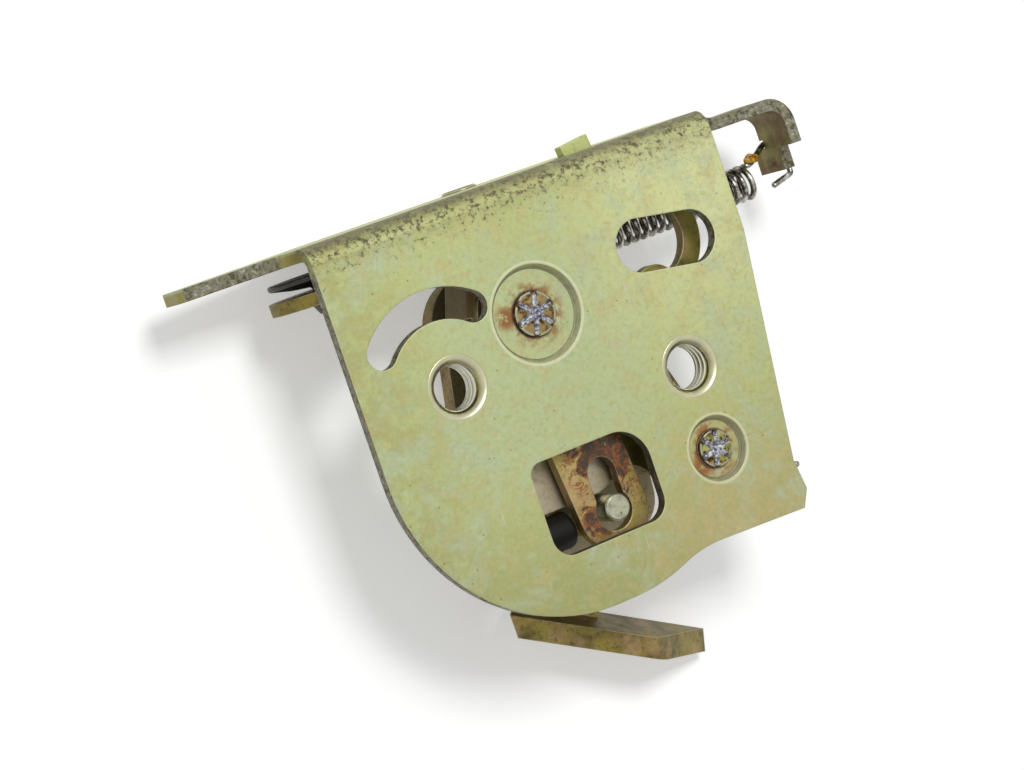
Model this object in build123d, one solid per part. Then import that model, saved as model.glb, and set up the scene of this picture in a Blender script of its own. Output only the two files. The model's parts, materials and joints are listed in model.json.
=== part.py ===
from build123d import *
import os
from math import atan2, cos, degrees, pi, radians, sin, tan

# Door latch actuator: a pressed steel bracket with a flange, and behind it the levers, link and
# springs that pass the handles' movement on to the latch.
# Frame, in millimetres: the bracket's mounting face is Z = 0 and faces +Z, the left threaded
# hole is on the Z axis, +X runs along the flange and +Y points out through the flange.

# ---- sheet and fits ----
sheet = 2.0
heavy_sheet = 3.5
link_sheet = 1.5
bend_inner_r = 1.0
run_gap = 0.3
journal_play = 0.05
stake_h = 0.7

# ---- bracket plate ----
plate_left = -16.0
plate_right = 56.2
flange_y = 27.2
corner_r = 30.2
corner_y = -9.8
belly = 3.0
foot_rise = 3.0
foot_blend_r = 20.0
toe_x = 50.7
toe_drop = 0.8
toe_w = 1.5
toe_h = 2.8
waist_x = 51.5
waist_rise = 7.0
shoulder_y = 7.0

# ---- threaded holes ----
thread_wall_r = 3.85
thread_lead_r = 5.0
thread_neck_r = 5.3
thread_len = 5.0
hole_2_x = 39.0
hole_2_y = -10.0

# ---- pivots and their dimples ----
main_pivot_x = 16.6
main_pivot_y = 6.2
main_dimple_r = 7.1
lock_pivot_x = 39.1
lock_pivot_y = -23.6
lock_dimple_r = 4.7
dimple_depth = 1.2
dimple_draft = 0.5
journal_r = 3.5
neck_r = 3.0
main_star_r = 3.45
lock_star_r = 2.9
groove_w = 0.9
groove_tilt = 45.0
groove_turn = 15.0
grooves = 3
inside_star_r = 2.9
inside_neck_r = 2.4
inside_stake_h = 0.5

# ---- openings in the plate ----
window_x0 = 6.7
window_x1 = 27.3
window_y0 = -30.3
window_y1 = -15.1
window_small_r = 2.0
window_mid_r = 3.3
window_big_r = 5.5
arc_slot_x = -0.6
arc_slot_y = 0.6
arc_slot_r = 12.35
arc_slot_half = 2.45
arc_slot_from = 54.0
arc_slot_to = 139.5
oval_a_x = 37.35
oval_a_y = 10.45
oval_b_x = 46.65
oval_b_y = 9.0
oval_r = 4.25

# ---- flange and its arms ----
flange_depth = 26.0
flange_back_x0 = -8.0
flange_back_x1 = 46.0
flange_side_z = -17.0
arm_tip_x = -33.3
arm_front_z = -8.0
arm_root_back_z = -21.0
arm_tip_front_z = -9.5
arm_tip_back_z = -18.0
arm_corner_r = 2.0
relief_r = 4.0
hook_x = 75.0
hook_front_z = -5.0
hook_back_z = -14.0
hook_tab_front_z = -9.2
hook_tab_back_z = -16.5
hook_wide_y = 17.0
hook_end_y = 13.2
hook_r = 4.5
joggle = 2.0
joggle_x = 55.0
joggle_run = 5.0
hook_notch_y = 17.4
hook_notch_w = 1.4
hook_notch_z = -13.0

# ---- main pivot stack, from the plate backwards ----
main_head_r = 6.0
main_head_t = 1.4
washer_t = 0.8
washer_r = 6.8
spacer_r = 4.6

# ---- release lever ----
release_top_z = -3.5
release_hub_r = 8.5
release_half = 6.1
pin_rest_x = 20.5
pin_rest_y = -26.5
pin_r = 2.2
pin_top_z = -2.6
release_eye_r = 3.2
release_eye_x = 20.1
release_eye_y = -26.8
release_slot_half = 2.5
release_slot_top_y = -18.2
ear_at_x = 8.0
ear_at_y = 8.7
ear_lean = 70.7
ear_len = 8.6
ear_back_z = -13.8
ear_corner_r = 2.0
lug_x = 24.0
lug_y0 = 10.6
lug_y1 = 16.2
lug_back_z = -14.5

# ---- outside lever ----
outside_top_z = -20.0
outside_hub_r = 8.5
outside_edge_top_x = 9.0
outside_edge_top_y = 1.8
outside_edge_mid_x = 6.4
outside_edge_mid_y = -11.0
outside_brow_x = 38.0
outside_brow_y = -13.0
outside_waist_x = 36.5
outside_waist_y = -31.5
outside_corner_r = 6.0
outside_edge_r = 34.0
outside_foot_half = 2.0
tail_root_x = 22.0
tail_root_y = -44.5
tail_turn = -29.0
tail_lean = 18.5
tail_rise = 10.5
tail_front_from = -20.9
tail_front_to = 5.5
tail_root_from = -15.5
tail_root_to = 19.5
tail_corner_r = 6.0
tail_slant = 35.0
outside_slot_half = 5.0

# ---- lock lever ----
lock_top_z = -6.5
lock_hub_r = 7.5
lock_collar_r = 5.5
lock_head_r = 5.2
lock_head_t = 1.5
lock_spring_room = 5.6
lock_arm_left = 6.0
lock_arm_top = -9.5
lock_arm_bottom = -23.9
lock_arm_corner_r = 2.0
lock_travel = 10.0
release_travel = 12.0
stub_radius = 20.9
stub_r = 2.0
stub_slack = 1.3
sweep_steps = 2
neck_knee_x = 33.4
neck_knee_y = -6.0
neck_half = 3.9
neck_end_r = 3.8
bow_at_x = 43.0
bow_at_y = 10.3
bow_r = 7.7
bow_half = 1.6
bow_from = -100.0
bow_to = 75.0
tab_x = 35.6
tab_w = 5.2
tab_lean = 7.0
tab_top_y = 29.1
tab_end_gap = 1.6
tab_side_gap = 0.6

# ---- coupling link ----
link_top_z = -17.6
link_eye_r = 5.9
link_foot_r = 4.5
link_slide = 3.3

# ---- inside lever, seen along the flange normal ----
inside_pivot_x = 20.4
inside_pivot_z = -19.5
inside_y = 20.4
inside_hub_r = 6.0
inside_end_x = -9.0
inside_end_z = -13.0
inside_end_r = 9.5
inside_waist = 4.2
inside_head_r = 4.3
finger_x = 13.2
finger_front_z = -10.0
finger_back_z = -14.5
finger_end_y = 14.4
clip_rim_r = 8.9
clip_rim_y = 23.1
clip_bore_r = 1.6
clip_stem_r = 2.4
clip_neck_y = 21.0
clip_barb_r = 3.3
clip_barb_y = 16.6
clip_rim_t = 0.9

# ---- stop ----
stop_lug_x = 4.6
stop_lug_foot_x = -3.0
stop_lug_y0 = -30.4
stop_lug_y1 = -24.3
stop_lug_back_z = -11.5
stop_y = -27.3
stop_z = -7.2
stop_head_r = 2.95
stop_back_r = 2.2
stop_stem_r = 1.8
stop_flange_t = 1.0
stop_dome = 1.2

# ---- springs ----
wire = 1.0
wire_sides = 6
coil_steps = 10
pull_spring_y = 13.3
pull_spring_z = -12.5
pull_spring_r = 2.55
pull_spring_x0 = 29.5
pull_spring_x1 = 67.9
pull_spring_pitch = 1.65
coil_turns = 3.0

# ---- derived places ----
through = 3 * sheet
hole_2 = Vector(hole_2_x, hole_2_y)
main_pivot = Vector(main_pivot_x, main_pivot_y)
lock_pivot = Vector(lock_pivot_x, lock_pivot_y)
oval_a = Vector(oval_a_x, oval_a_y)
oval_b = Vector(oval_b_x, oval_b_y)
pin_rest = Vector(pin_rest_x, pin_rest_y)
release_eye = Vector(release_eye_x, release_eye_y)
ear_at = Vector(ear_at_x, ear_at_y)
outside_edge_top = Vector(outside_edge_top_x, outside_edge_top_y)
outside_edge_mid = Vector(outside_edge_mid_x, outside_edge_mid_y)
outside_brow = Vector(outside_brow_x, outside_brow_y)
outside_waist = Vector(outside_waist_x, outside_waist_y)
tail_root = Vector(tail_root_x, tail_root_y)
neck_knee = Vector(neck_knee_x, neck_knee_y)
bow_at = Vector(bow_at_x, bow_at_y)
inside_pivot = Vector(inside_pivot_x, inside_pivot_z)
inside_end = Vector(inside_end_x, inside_end_z)
bend_outer_r = bend_inner_r + sheet
low_y = corner_y - corner_r
foot_y = low_y + foot_rise
waist_y = foot_y + waist_rise
flange_in_y = flange_y - sheet
plate_back_z = -sheet
dimple_back_z = plate_back_z - dimple_depth
release_back_z = release_top_z - sheet
lock_back_z = lock_top_z - sheet
link_back_z = link_top_z - link_sheet
outside_back_z = outside_top_z - heavy_sheet
main_head_z = outside_back_z - run_gap - washer_t
bore_r = journal_r + journal_play
radial = (pin_rest - main_pivot).normalized()
pin_radius = (pin_rest - main_pivot).length
radial_turn = degrees(atan2(radial.Y, radial.X))
stub_at = main_pivot + radial * stub_radius
arm_inner_y = flange_y - joggle - sheet
lock_coil_z = lock_back_z - run_gap
lock_head_z = lock_back_z - lock_spring_room
main_coil_r = spacer_r + run_gap + wire / 2
stud_coil_r = journal_r + run_gap + wire / 2


# ---- helpers ----
def polygon(*points):
    return make_face(Polyline(*[(p.X, p.Y) if isinstance(p, Vector) else p for p in points], close=True))


def disc(at, radius):
    return Pos(at.X, at.Y) * Circle(radius)


def stadium(a, b, radius):
    run = b - a
    middle = (a + b) * 0.5
    turn = degrees(atan2(run.Y, run.X))
    return Pos(middle.X, middle.Y) * Rot(0, 0, turn) * SlotCenterToCenter(run.length, 2 * radius)


def curved_slot(at, radius, half, from_turn, to_turn):
    """A slot of constant width that follows a circle."""
    return SlotArc(CenterArc((at.X, at.Y), radius, from_turn, to_turn - from_turn), 2 * half)


def sheet_part(outline, top_z, thick):
    return Pos(0, 0, top_z) * extrude(outline, -thick)


def round_bar(at, radius, top_z, back_z):
    return sheet_part(disc(at, radius), top_z, top_z - back_z)


def along_flange(y):
    """Plane parallel to the flange: its x is X, its y is Z, and it extrudes towards -Y."""
    return Plane(origin=(0, y, 0), x_dir=(1, 0, 0), z_dir=(0, -1, 0))


def flange_part(outline, y, thick):
    return extrude(along_flange(y) * outline, thick)


def nearest_vertex(sketch, x, y):
    return sketch.vertices().sort_by_distance((x, y, 0))[0]


def rounded(sketch, radius, *corners):
    for corner in corners:
        x, y = (corner.X, corner.Y) if isinstance(corner, Vector) else corner
        sketch = fillet(nearest_vertex(sketch, x, y), radius)
    return sketch


def bent_profile(leg, drop, thick):
    """Section of a bent strip: a leg along +x at the top, then a drop along -y at its left end."""
    outer_r = bend_inner_r + thick
    section = polygon((leg, 0), (0, 0), (0, -drop), (thick, -drop), (thick, -thick), (leg, -thick))
    section = rounded(section, outer_r, (0, 0))
    return rounded(section, bend_inner_r, (thick, -thick))


def coil_points(radius, pitch, turns):
    """Points of a spring coil about +Z from (radius, 0, 0): its angle and its height grow together."""
    points = []
    for k in range(round(turns * coil_steps) + 1):
        turn = 2 * pi * k / coil_steps
        points.append(Vector(radius * cos(turn), radius * sin(turn), pitch * k / coil_steps))
    return points


def placed(location, points):
    return [(location * Pos(point.X, point.Y, point.Z)).position for point in points]


def wire_along(points):
    """A spring wire with straight runs between the points."""
    start = Plane(origin=points[0], z_dir=points[1] - points[0])
    return sweep(start * RegularPolygon(wire / 2, wire_sides), Polyline(*points), transition=Transition.RIGHT)


def star_grooves(at, radius, top_z):
    """Three V grooves across a staked head, which make its six-pointed mark."""
    groove = Rot(groove_tilt, 0, 0) * Box(2 * radius, groove_w, groove_w)
    crossed = Part() + [Rot(0, 0, groove_turn + k * 180 / grooves) * groove for k in range(grooves)]
    return Pos(at.X, at.Y, top_z) * crossed


# ---- bracket ----
def plate_outline():
    top = flange_y - bend_outer_r
    low = Vector(plate_left + corner_r, low_y)
    low_end = low + Vector(belly, 0)
    foot = Vector(low_end.X + (corner_r**2 - (corner_r - foot_rise) ** 2) ** 0.5, foot_y)
    side = Line((plate_left, top), (plate_left, corner_y))
    left_arc = RadiusArc(side @ 1, low, -corner_r)
    bottom = Line(low, low_end)
    right_arc = RadiusArc(low_end, foot, -corner_r)
    toe_y = foot_y - toe_drop
    edge = Polyline(
        foot, (toe_x, toe_y), (toe_x + toe_w, toe_y + toe_h), (waist_x, waist_y),
        (plate_right, shoulder_y), (plate_right, top), (plate_left, top),
    )
    outline = make_face([side, left_arc, bottom, right_arc, edge])
    return rounded(outline, foot_blend_r, foot)


def window_outline():
    window = polygon(
        (window_x0, window_y0), (window_x1, window_y0), (window_x1, window_y1), (window_x0, window_y1)
    )
    window = rounded(window, window_small_r, (window_x0, window_y1))
    window = rounded(window, window_big_r, (window_x1, window_y1))
    return rounded(window, window_mid_r, (window_x1, window_y0), (window_x0, window_y0))


def dimple(at, floor_r):
    """A round recess pressed back from the mounting face: (boss behind the plate, recess to cut)."""
    rim_r = floor_r + dimple_draft
    boss = Pos(at.X, at.Y, plate_back_z - dimple_depth / 2) * Cone(rim_r, rim_r + dimple_draft, dimple_depth)
    recess = Pos(at.X, at.Y, -dimple_depth / 2) * Cone(floor_r, rim_r, dimple_depth)
    return boss, recess


def threaded_neck(at):
    """An extruded hole: (neck behind the plate, bore with its rolled lead-in)."""
    neck = round_bar(at, thread_neck_r, plate_back_z, -thread_len)
    lead = thread_lead_r - thread_wall_r
    knee = lead * (1 - sin(pi / 4))
    section = polygon(
        (thread_wall_r, -thread_len), (0, -thread_len), (0, 0), (thread_lead_r, 0),
        (thread_wall_r + knee, -knee), (thread_wall_r, -lead),
    )
    bore = revolve(Plane.XZ * section, Axis.Z)
    return neck, Pos(at.X, at.Y, 0) * bore


def flange_outline():
    front = -bend_outer_r
    outline = polygon(
        (plate_left, front), (plate_left, arm_front_z), (arm_tip_x, arm_tip_front_z),
        (arm_tip_x, arm_tip_back_z), (plate_left, arm_root_back_z), (flange_back_x0, -flange_depth),
        (flange_back_x1, -flange_depth), (plate_right, flange_side_z), (plate_right, front),
    )
    outline = rounded(outline, relief_r, (plate_left, arm_front_z))
    tip = ((arm_tip_x, arm_tip_front_z), (arm_tip_x, arm_tip_back_z))
    outline = rounded(outline, arm_corner_r, *tip)
    back = ((flange_back_x0, -flange_depth), (flange_back_x1, -flange_depth), (plate_right, flange_side_z))
    return rounded(outline, bend_outer_r, *back)


def block(x0, y0, y1, top_z, depth):
    """A block that cuts the hook from x0 to beyond its outer side."""
    x1 = hook_x + sheet
    return sheet_part(polygon((x0, y0), (x1, y0), (x1, y1), (x0, y1)), top_z, depth)


def hook_arm():
    """The right arm: it steps in from the flange, runs out and bends down into the spring hook."""
    mid = sheet / 2
    arm_y = arm_inner_y + mid
    path = FilletPolyline(
        (joggle_x - joggle_run, flange_y - mid), (joggle_x, flange_y - mid),
        (joggle_x + joggle_run, arm_y), (hook_x - mid, arm_y), (hook_x - mid, hook_end_y),
        radius=hook_r - mid,
    )
    height = hook_front_z - hook_tab_back_z
    middle_z = (hook_front_z + hook_tab_back_z) / 2
    section = Plane(origin=path @ 0, x_dir=(0, 0, 1), z_dir=path % 0) * Rectangle(height, sheet)
    arm = Pos(0, 0, middle_z) * sweep(section, path)
    notch_top = hook_notch_y + hook_notch_w
    back = block(joggle_x - joggle_run - sheet, notch_top, flange_y, hook_back_z, height)
    front = block(hook_x - 2 * sheet, hook_end_y - sheet, hook_wide_y, 0, -hook_tab_front_z)
    notch = block(hook_x - 2 * sheet, hook_notch_y, notch_top, hook_notch_z, height)
    return arm - back - front - notch


def tab_slot():
    """The slot in the flange that the lock lever's tab swings along."""
    swing = (tab_top_y - lock_pivot.Y) * sin(radians(lock_travel))
    x0 = tab_x - tab_w / 2 - tab_end_gap
    x1 = tab_x + tab_w / 2 + swing + tab_end_gap
    z0 = lock_back_z - tab_side_gap
    z1 = lock_top_z + tab_side_gap
    slot = polygon((x0, z0), (x1, z0), (x1, z1), (x0, z1))
    return flange_part(slot, flange_y + sheet, through)


def bend():
    """The quarter-round bend between the plate and the flange."""
    quarter = Pos(bend_outer_r / 2, bend_outer_r / 2) * Rectangle(bend_outer_r, bend_outer_r)
    section = (Circle(bend_outer_r) - Circle(bend_inner_r)) & quarter
    corner = (plate_left, flange_y - bend_outer_r, -bend_outer_r)
    return extrude(Plane(origin=corner, x_dir=(0, 1, 0), z_dir=(1, 0, 0)) * section, plate_right - plate_left)


def bracket():
    flat = sheet_part(plate_outline(), 0, sheet)
    flange = flange_part(flange_outline(), flange_y, sheet) - tab_slot()
    body = flat + bend() + flange + hook_arm()
    for at, floor_r in ((main_pivot, main_dimple_r), (lock_pivot, lock_dimple_r)):
        boss, recess = dimple(at, floor_r)
        body = body + boss - recess - round_bar(at, neck_r, sheet, 2 * dimple_back_z)
    for at in (Vector(0, 0), hole_2):
        neck, bore = threaded_neck(at)
        body = body + neck - bore
    arc = curved_slot(Vector(arc_slot_x, arc_slot_y), arc_slot_r, arc_slot_half, arc_slot_from, arc_slot_to)
    for opening in (window_outline(), arc, stadium(oval_a, oval_b, oval_r)):
        body = body - sheet_part(opening, sheet, through)
    return body - flange_part(disc(inside_pivot, inside_neck_r), flange_y + sheet, through)


# ---- studs, spacer and washers ----
def main_stud():
    head = round_bar(main_pivot, main_star_r, -dimple_depth + stake_h, -dimple_depth)
    neck = round_bar(main_pivot, neck_r, -dimple_depth, dimple_back_z)
    journal = round_bar(main_pivot, journal_r, dimple_back_z, main_head_z)
    foot = round_bar(main_pivot, main_head_r, main_head_z, main_head_z - main_head_t)
    foot = chamfer(foot.edges().group_by(Axis.Z)[0], run_gap)
    grooved = head - star_grooves(main_pivot, main_star_r, stake_h - dimple_depth)
    return grooved + neck + journal + foot


def lock_stud():
    head = round_bar(lock_pivot, lock_star_r, -dimple_depth + stake_h, -dimple_depth)
    neck = round_bar(lock_pivot, neck_r, -dimple_depth, dimple_back_z)
    collar = round_bar(lock_pivot, lock_collar_r, dimple_back_z, lock_top_z + run_gap)
    journal = round_bar(lock_pivot, journal_r, lock_top_z + run_gap, lock_head_z)
    foot = round_bar(lock_pivot, lock_head_r, lock_head_z, lock_head_z - lock_head_t)
    foot = chamfer(foot.edges().group_by(Axis.Z)[0], run_gap)
    grooved = head - star_grooves(lock_pivot, lock_star_r, stake_h - dimple_depth)
    return grooved + neck + collar + journal + foot


def ring(at, outer_r, inner_r, top_z, back_z):
    return sheet_part(disc(at, outer_r) - disc(at, inner_r), top_z, top_z - back_z)


def main_spacer():
    return ring(main_pivot, spacer_r, journal_r, release_back_z - run_gap, outside_top_z + run_gap)


def main_washer():
    top = outside_back_z - run_gap
    return ring(main_pivot, washer_r, journal_r, top, top - washer_t)


def inside_stud():
    """The flange stud: head outside the flange, journal inwards, foot under the inside lever."""
    at = Pos(inside_pivot.X, inside_pivot.Y)
    lever_under_y = inside_y - sheet
    head = flange_part(at * Circle(inside_star_r), flange_y + inside_stake_h, inside_stake_h)
    head = chamfer(head.edges().group_by(Axis.Y)[-1], run_gap)
    neck = flange_part(at * Circle(inside_neck_r), flange_y, sheet)
    journal = flange_part(at * Circle(journal_r), flange_in_y, flange_in_y - lever_under_y + run_gap)
    foot = flange_part(at * Circle(inside_head_r), lever_under_y - run_gap, main_head_t)
    foot = chamfer(foot.edges().group_by(Axis.Y)[0], run_gap)
    return head + neck + journal + foot


# ---- release lever ----
def ear_plane():
    """Plane across the ear's bend: x points to the lever, y is +Z, and it extrudes up along the ear."""
    lean = radians(ear_lean)
    return Plane(origin=(ear_at.X, ear_at.Y, release_top_z), x_dir=(sin(lean), -cos(lean), 0),
                 z_dir=(-cos(lean), -sin(lean), 0))


def release_lever():
    lean = radians(ear_lean)
    up = Vector(cos(lean), sin(lean))
    across = Vector(sin(lean), -cos(lean))
    outer_r = bend_inner_r + sheet
    ear_foot = ear_at + across * outer_r
    ear_top = ear_foot + up * ear_len
    shank = stadium(main_pivot + radial * release_hub_r, release_eye, release_half)
    hub = disc(main_pivot, release_hub_r)
    ear_root = polygon(main_pivot, ear_foot, ear_top, main_pivot + Vector(0, release_hub_r))
    lug_root = polygon(
        main_pivot, (lug_x - bend_inner_r, lug_y0), (lug_x - bend_inner_r, lug_y1),
        main_pivot + Vector(0, release_hub_r),
    )
    outline = hub + shank + ear_root + lug_root
    slot_top = Vector(release_eye.X, release_slot_top_y - release_slot_half)
    slot = disc(release_eye, release_eye_r) + stadium(slot_top, release_eye, release_slot_half)
    flat = sheet_part(outline - slot - disc(main_pivot, bore_r), release_top_z, sheet)
    ear_drop = release_top_z - ear_back_z
    ear = extrude(ear_plane() * bent_profile(outer_r, ear_drop, sheet), -ear_len)
    side_plane = Plane(origin=(ear_at.X, ear_at.Y, 0), x_dir=(up.X, up.Y, 0), z_dir=(across.X, across.Y, 0))
    z_sign = side_plane.y_dir.Z
    side = polygon((0, 0), (ear_len, 0), (ear_len, z_sign * ear_back_z), (0, z_sign * ear_back_z))
    side = rounded(side, ear_corner_r, (ear_len, z_sign * ear_back_z))
    ear = ear & extrude(side_plane * side, 2 * outer_r)
    lug_drop = release_top_z - lug_back_z
    lug_plane = Plane(origin=(lug_x + sheet, lug_y0, release_top_z), x_dir=(-1, 0, 0), z_dir=(0, 1, 0))
    lug = extrude(lug_plane * bent_profile(sheet + bend_inner_r, lug_drop, sheet), lug_y1 - lug_y0)
    eye = Plane(origin=(lug_x - sheet, pull_spring_y, pull_spring_z), z_dir=(1, 0, 0)) * Circle(wire)
    return flat + ear + lug - extrude(eye, through)


# ---- outside lever ----
def tail_run():
    turn = radians(tail_turn)
    return Vector(cos(turn), sin(turn))


def tail_frame():
    """Plane of the tail's inner face: x runs along the tail, y rises along it, z is its outer side."""
    run = tail_run()
    lean = radians(tail_lean)
    rise = Vector(run.Y * sin(lean), -run.X * sin(lean), cos(lean))
    return Plane(origin=(tail_root.X, tail_root.Y, outside_back_z), x_dir=run, z_dir=run.cross(rise))


def tail():
    outline = polygon(
        (tail_root_from, 0), (tail_root_to, 0), (tail_front_to, tail_rise), (tail_front_from, tail_rise)
    )
    outline = rounded(outline, tail_corner_r, (tail_front_to, tail_rise))
    frame = tail_frame()
    through = frame.z_dir * heavy_sheet + frame.x_dir * heavy_sheet * tan(radians(tail_slant))
    wall = Solid.extrude((frame * outline).face(), through)
    reach = 4 * tail_rise
    below = sheet_part(Pos(tail_root.X, tail_root.Y) * Rectangle(reach, reach), outside_back_z, reach)
    return wall - below


def outside_lever():
    run = tail_run()
    out = Vector(run.Y, -run.X)
    foot_left = tail_root + run * tail_root_from
    foot_right = tail_root - run * outside_foot_half
    lap = out * (heavy_sheet - run_gap)
    hub = disc(main_pivot, outside_hub_r)
    blade = polygon(
        outside_edge_top, outside_edge_mid, foot_left, foot_left + lap, foot_right + lap, foot_right,
        outside_waist, outside_brow, main_pivot + Vector(outside_hub_r, 0), main_pivot,
    )
    blade = rounded(blade, outside_corner_r, outside_waist, outside_brow)
    blade = rounded(blade, outside_edge_r, outside_edge_mid)
    narrow_r = pin_r + 2 * journal_play
    narrow = stadium(main_pivot + radial * (pin_radius - outside_slot_half), pin_rest, narrow_r)
    wide_from = main_pivot + radial * (stub_radius + stub_r)
    wide_to = main_pivot + radial * (pin_radius - outside_slot_half - pin_r)
    wide = stadium(wide_from, wide_to, outside_slot_half - run_gap)
    outline = hub + blade - narrow - wide - disc(main_pivot, bore_r)
    return sheet_part(outline, outside_top_z, heavy_sheet) + tail()


# ---- lock lever ----
def stub_slot():
    """Arc slot about the main pivot that lets the link's stub swing with the release lever."""
    lead = degrees(stub_slack / stub_radius)
    return curved_slot(main_pivot, stub_radius, stub_r + stub_slack, radial_turn - 2 * lead,
                       radial_turn + release_travel)


def pin_sweep(share):
    """Room for the pusher pin's swing once the lock lever and the link have made a share of their travel."""
    reach = pin_radius - share * link_slide
    swing = curved_slot(main_pivot, reach, pin_r + run_gap, radial_turn, radial_turn + release_travel)
    about = Pos(lock_pivot.X, lock_pivot.Y)
    return about * Rot(0, 0, share * lock_travel) * about.inverse() * swing


def polar(at, radius, turn):
    return at + Vector(cos(radians(turn)), sin(radians(turn))) * radius


def lock_lever():
    hub = disc(lock_pivot, lock_hub_r)
    shoulder = Vector(lock_arm_left, lock_arm_top - lock_hub_r / 2)
    brow = Vector(lock_arm_left + lock_hub_r, lock_arm_top)
    heel = Vector(lock_arm_left, lock_arm_bottom)
    root_low = Vector(lock_pivot.X, lock_arm_bottom)
    root_top = lock_pivot + Vector(0, lock_hub_r)
    left_arm = polygon(heel, root_low, root_top, brow, shoulder)
    left_arm = rounded(left_arm, lock_arm_corner_r, heel, brow, shoulder)
    bow = curved_slot(bow_at, bow_r, bow_half, bow_from, bow_to)
    neck = stadium(lock_pivot, neck_knee, neck_half)
    neck = neck + stadium(neck_knee, polar(bow_at, bow_r, bow_from), neck_end_r)
    lean = radians(tab_lean)
    tab_up = Vector(-sin(lean), cos(lean))
    tab_side = Vector(cos(lean), sin(lean)) * (tab_w / 2)
    tab_top = Vector(tab_x, tab_top_y)
    bow_end = polar(bow_at, bow_r, bow_to)
    tab_foot = tab_top - tab_up * (tab_top_y - bow_end.Y - bow_half)
    crown = stadium(tab_foot, bow_end + Vector(0, bow_half), tab_w / 2)
    tab = polygon(tab_foot - tab_side, tab_foot + tab_side, tab_top + tab_side, tab_top - tab_side)
    outline = hub + left_arm + neck + bow + crown + tab - stub_slot() - disc(lock_pivot, bore_r)
    for step in range(sweep_steps + 1):
        outline = outline - pin_sweep(step / sweep_steps)
    return sheet_part(outline, lock_top_z, sheet)


# ---- coupling link and its pins ----
def coupling_link():
    eye_low = main_pivot + radial * link_slide
    eye = stadium(main_pivot, eye_low, link_eye_r)
    strap = stadium(eye_low, pin_rest, link_foot_r)
    slot = stadium(main_pivot, eye_low + radial * journal_play, spacer_r + 2 * journal_play)
    holes = disc(pin_rest, pin_r) + disc(stub_at, stub_r)
    return sheet_part(eye + strap - slot - holes, link_top_z, link_sheet)


def pusher_pin():
    pin = round_bar(pin_rest, pin_r, pin_top_z, outside_back_z - run_gap)
    return chamfer(pin.edges().group_by(Axis.Z)[-1], run_gap)


def link_stub():
    return round_bar(stub_at, stub_r, lock_top_z + run_gap, link_back_z)


# ---- inside lever and its clip ----
def inside_lever():
    hub = disc(inside_pivot, inside_hub_r)
    end = disc(inside_end, inside_end_r)
    bar = stadium(inside_end, inside_pivot, inside_waist)
    finger_root = polygon(inside_pivot, (finger_x, finger_back_z), (finger_x, finger_front_z),
                          inside_pivot + Vector(0, inside_hub_r))
    holes = disc(inside_pivot, bore_r) + disc(inside_end, clip_stem_r)
    flat = flange_part(hub + end + bar + finger_root - holes, inside_y, sheet)
    drop = inside_y - finger_end_y
    plane = Plane(origin=(finger_x, inside_y, finger_back_z), x_dir=(1, 0, 0), z_dir=(0, 0, 1))
    return flat + extrude(plane * bent_profile(bend_outer_r, drop, sheet), finger_front_z - finger_back_z)


def rod_clip():
    """A snap-in clip: a flared cup above the lever, a neck through it and a barb below, bored for the rod."""
    under_y = inside_y - sheet
    section = polygon(
        (0, clip_barb_y), (clip_stem_r, clip_barb_y), (clip_barb_r, under_y), (clip_stem_r, under_y),
        (clip_stem_r, clip_neck_y), (clip_rim_r, clip_rim_y - clip_rim_t), (clip_rim_r, clip_rim_y),
        (clip_stem_r, clip_neck_y + clip_rim_t), (0, clip_neck_y + clip_rim_t),
    )
    solid = revolve(section, Axis.Y)
    bore = extrude(Plane.XZ * Circle(clip_bore_r), clip_rim_y, both=True)
    return Pos(inside_end.X, 0, inside_end.Y) * (solid - bore)


# ---- stop ----
def stop_lug():
    """A lug welded behind the plate, with a hole for the rubber buffer."""
    drop = plate_back_z - stop_lug_back_z
    width = stop_lug_y1 - stop_lug_y0
    plane = Plane(origin=(stop_lug_x + sheet, stop_lug_y0, plate_back_z), x_dir=(-1, 0, 0), z_dir=(0, 1, 0))
    lug = extrude(plane * bent_profile(stop_lug_x + sheet - stop_lug_foot_x, drop, sheet), width)
    hole_plane = Plane(origin=(stop_lug_x - sheet, stop_y, stop_z), z_dir=(1, 0, 0))
    return lug - extrude(hole_plane * Circle(stop_stem_r + journal_play), through)


def stop_buffer():
    """A push-in rubber buffer: its domed head stops the release lever."""
    edge_run = (release_eye - main_pivot).normalized()
    edge_y = (stop_y - main_pivot.Y) / edge_run.Y * edge_run.X + main_pivot.X
    tip = edge_y - release_half / abs(edge_run.Y) - run_gap - stop_lug_x
    section = polygon(
        (-stop_flange_t, 0), (-stop_flange_t, stop_back_r), (0, stop_back_r), (0, stop_stem_r),
        (sheet, stop_stem_r), (sheet, stop_head_r), (tip, stop_head_r), (tip, 0),
    )
    section = chamfer(nearest_vertex(section, tip, stop_head_r), stop_dome)
    return Pos(stop_lug_x, stop_y, stop_z) * revolve(section, Axis.X)


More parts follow.
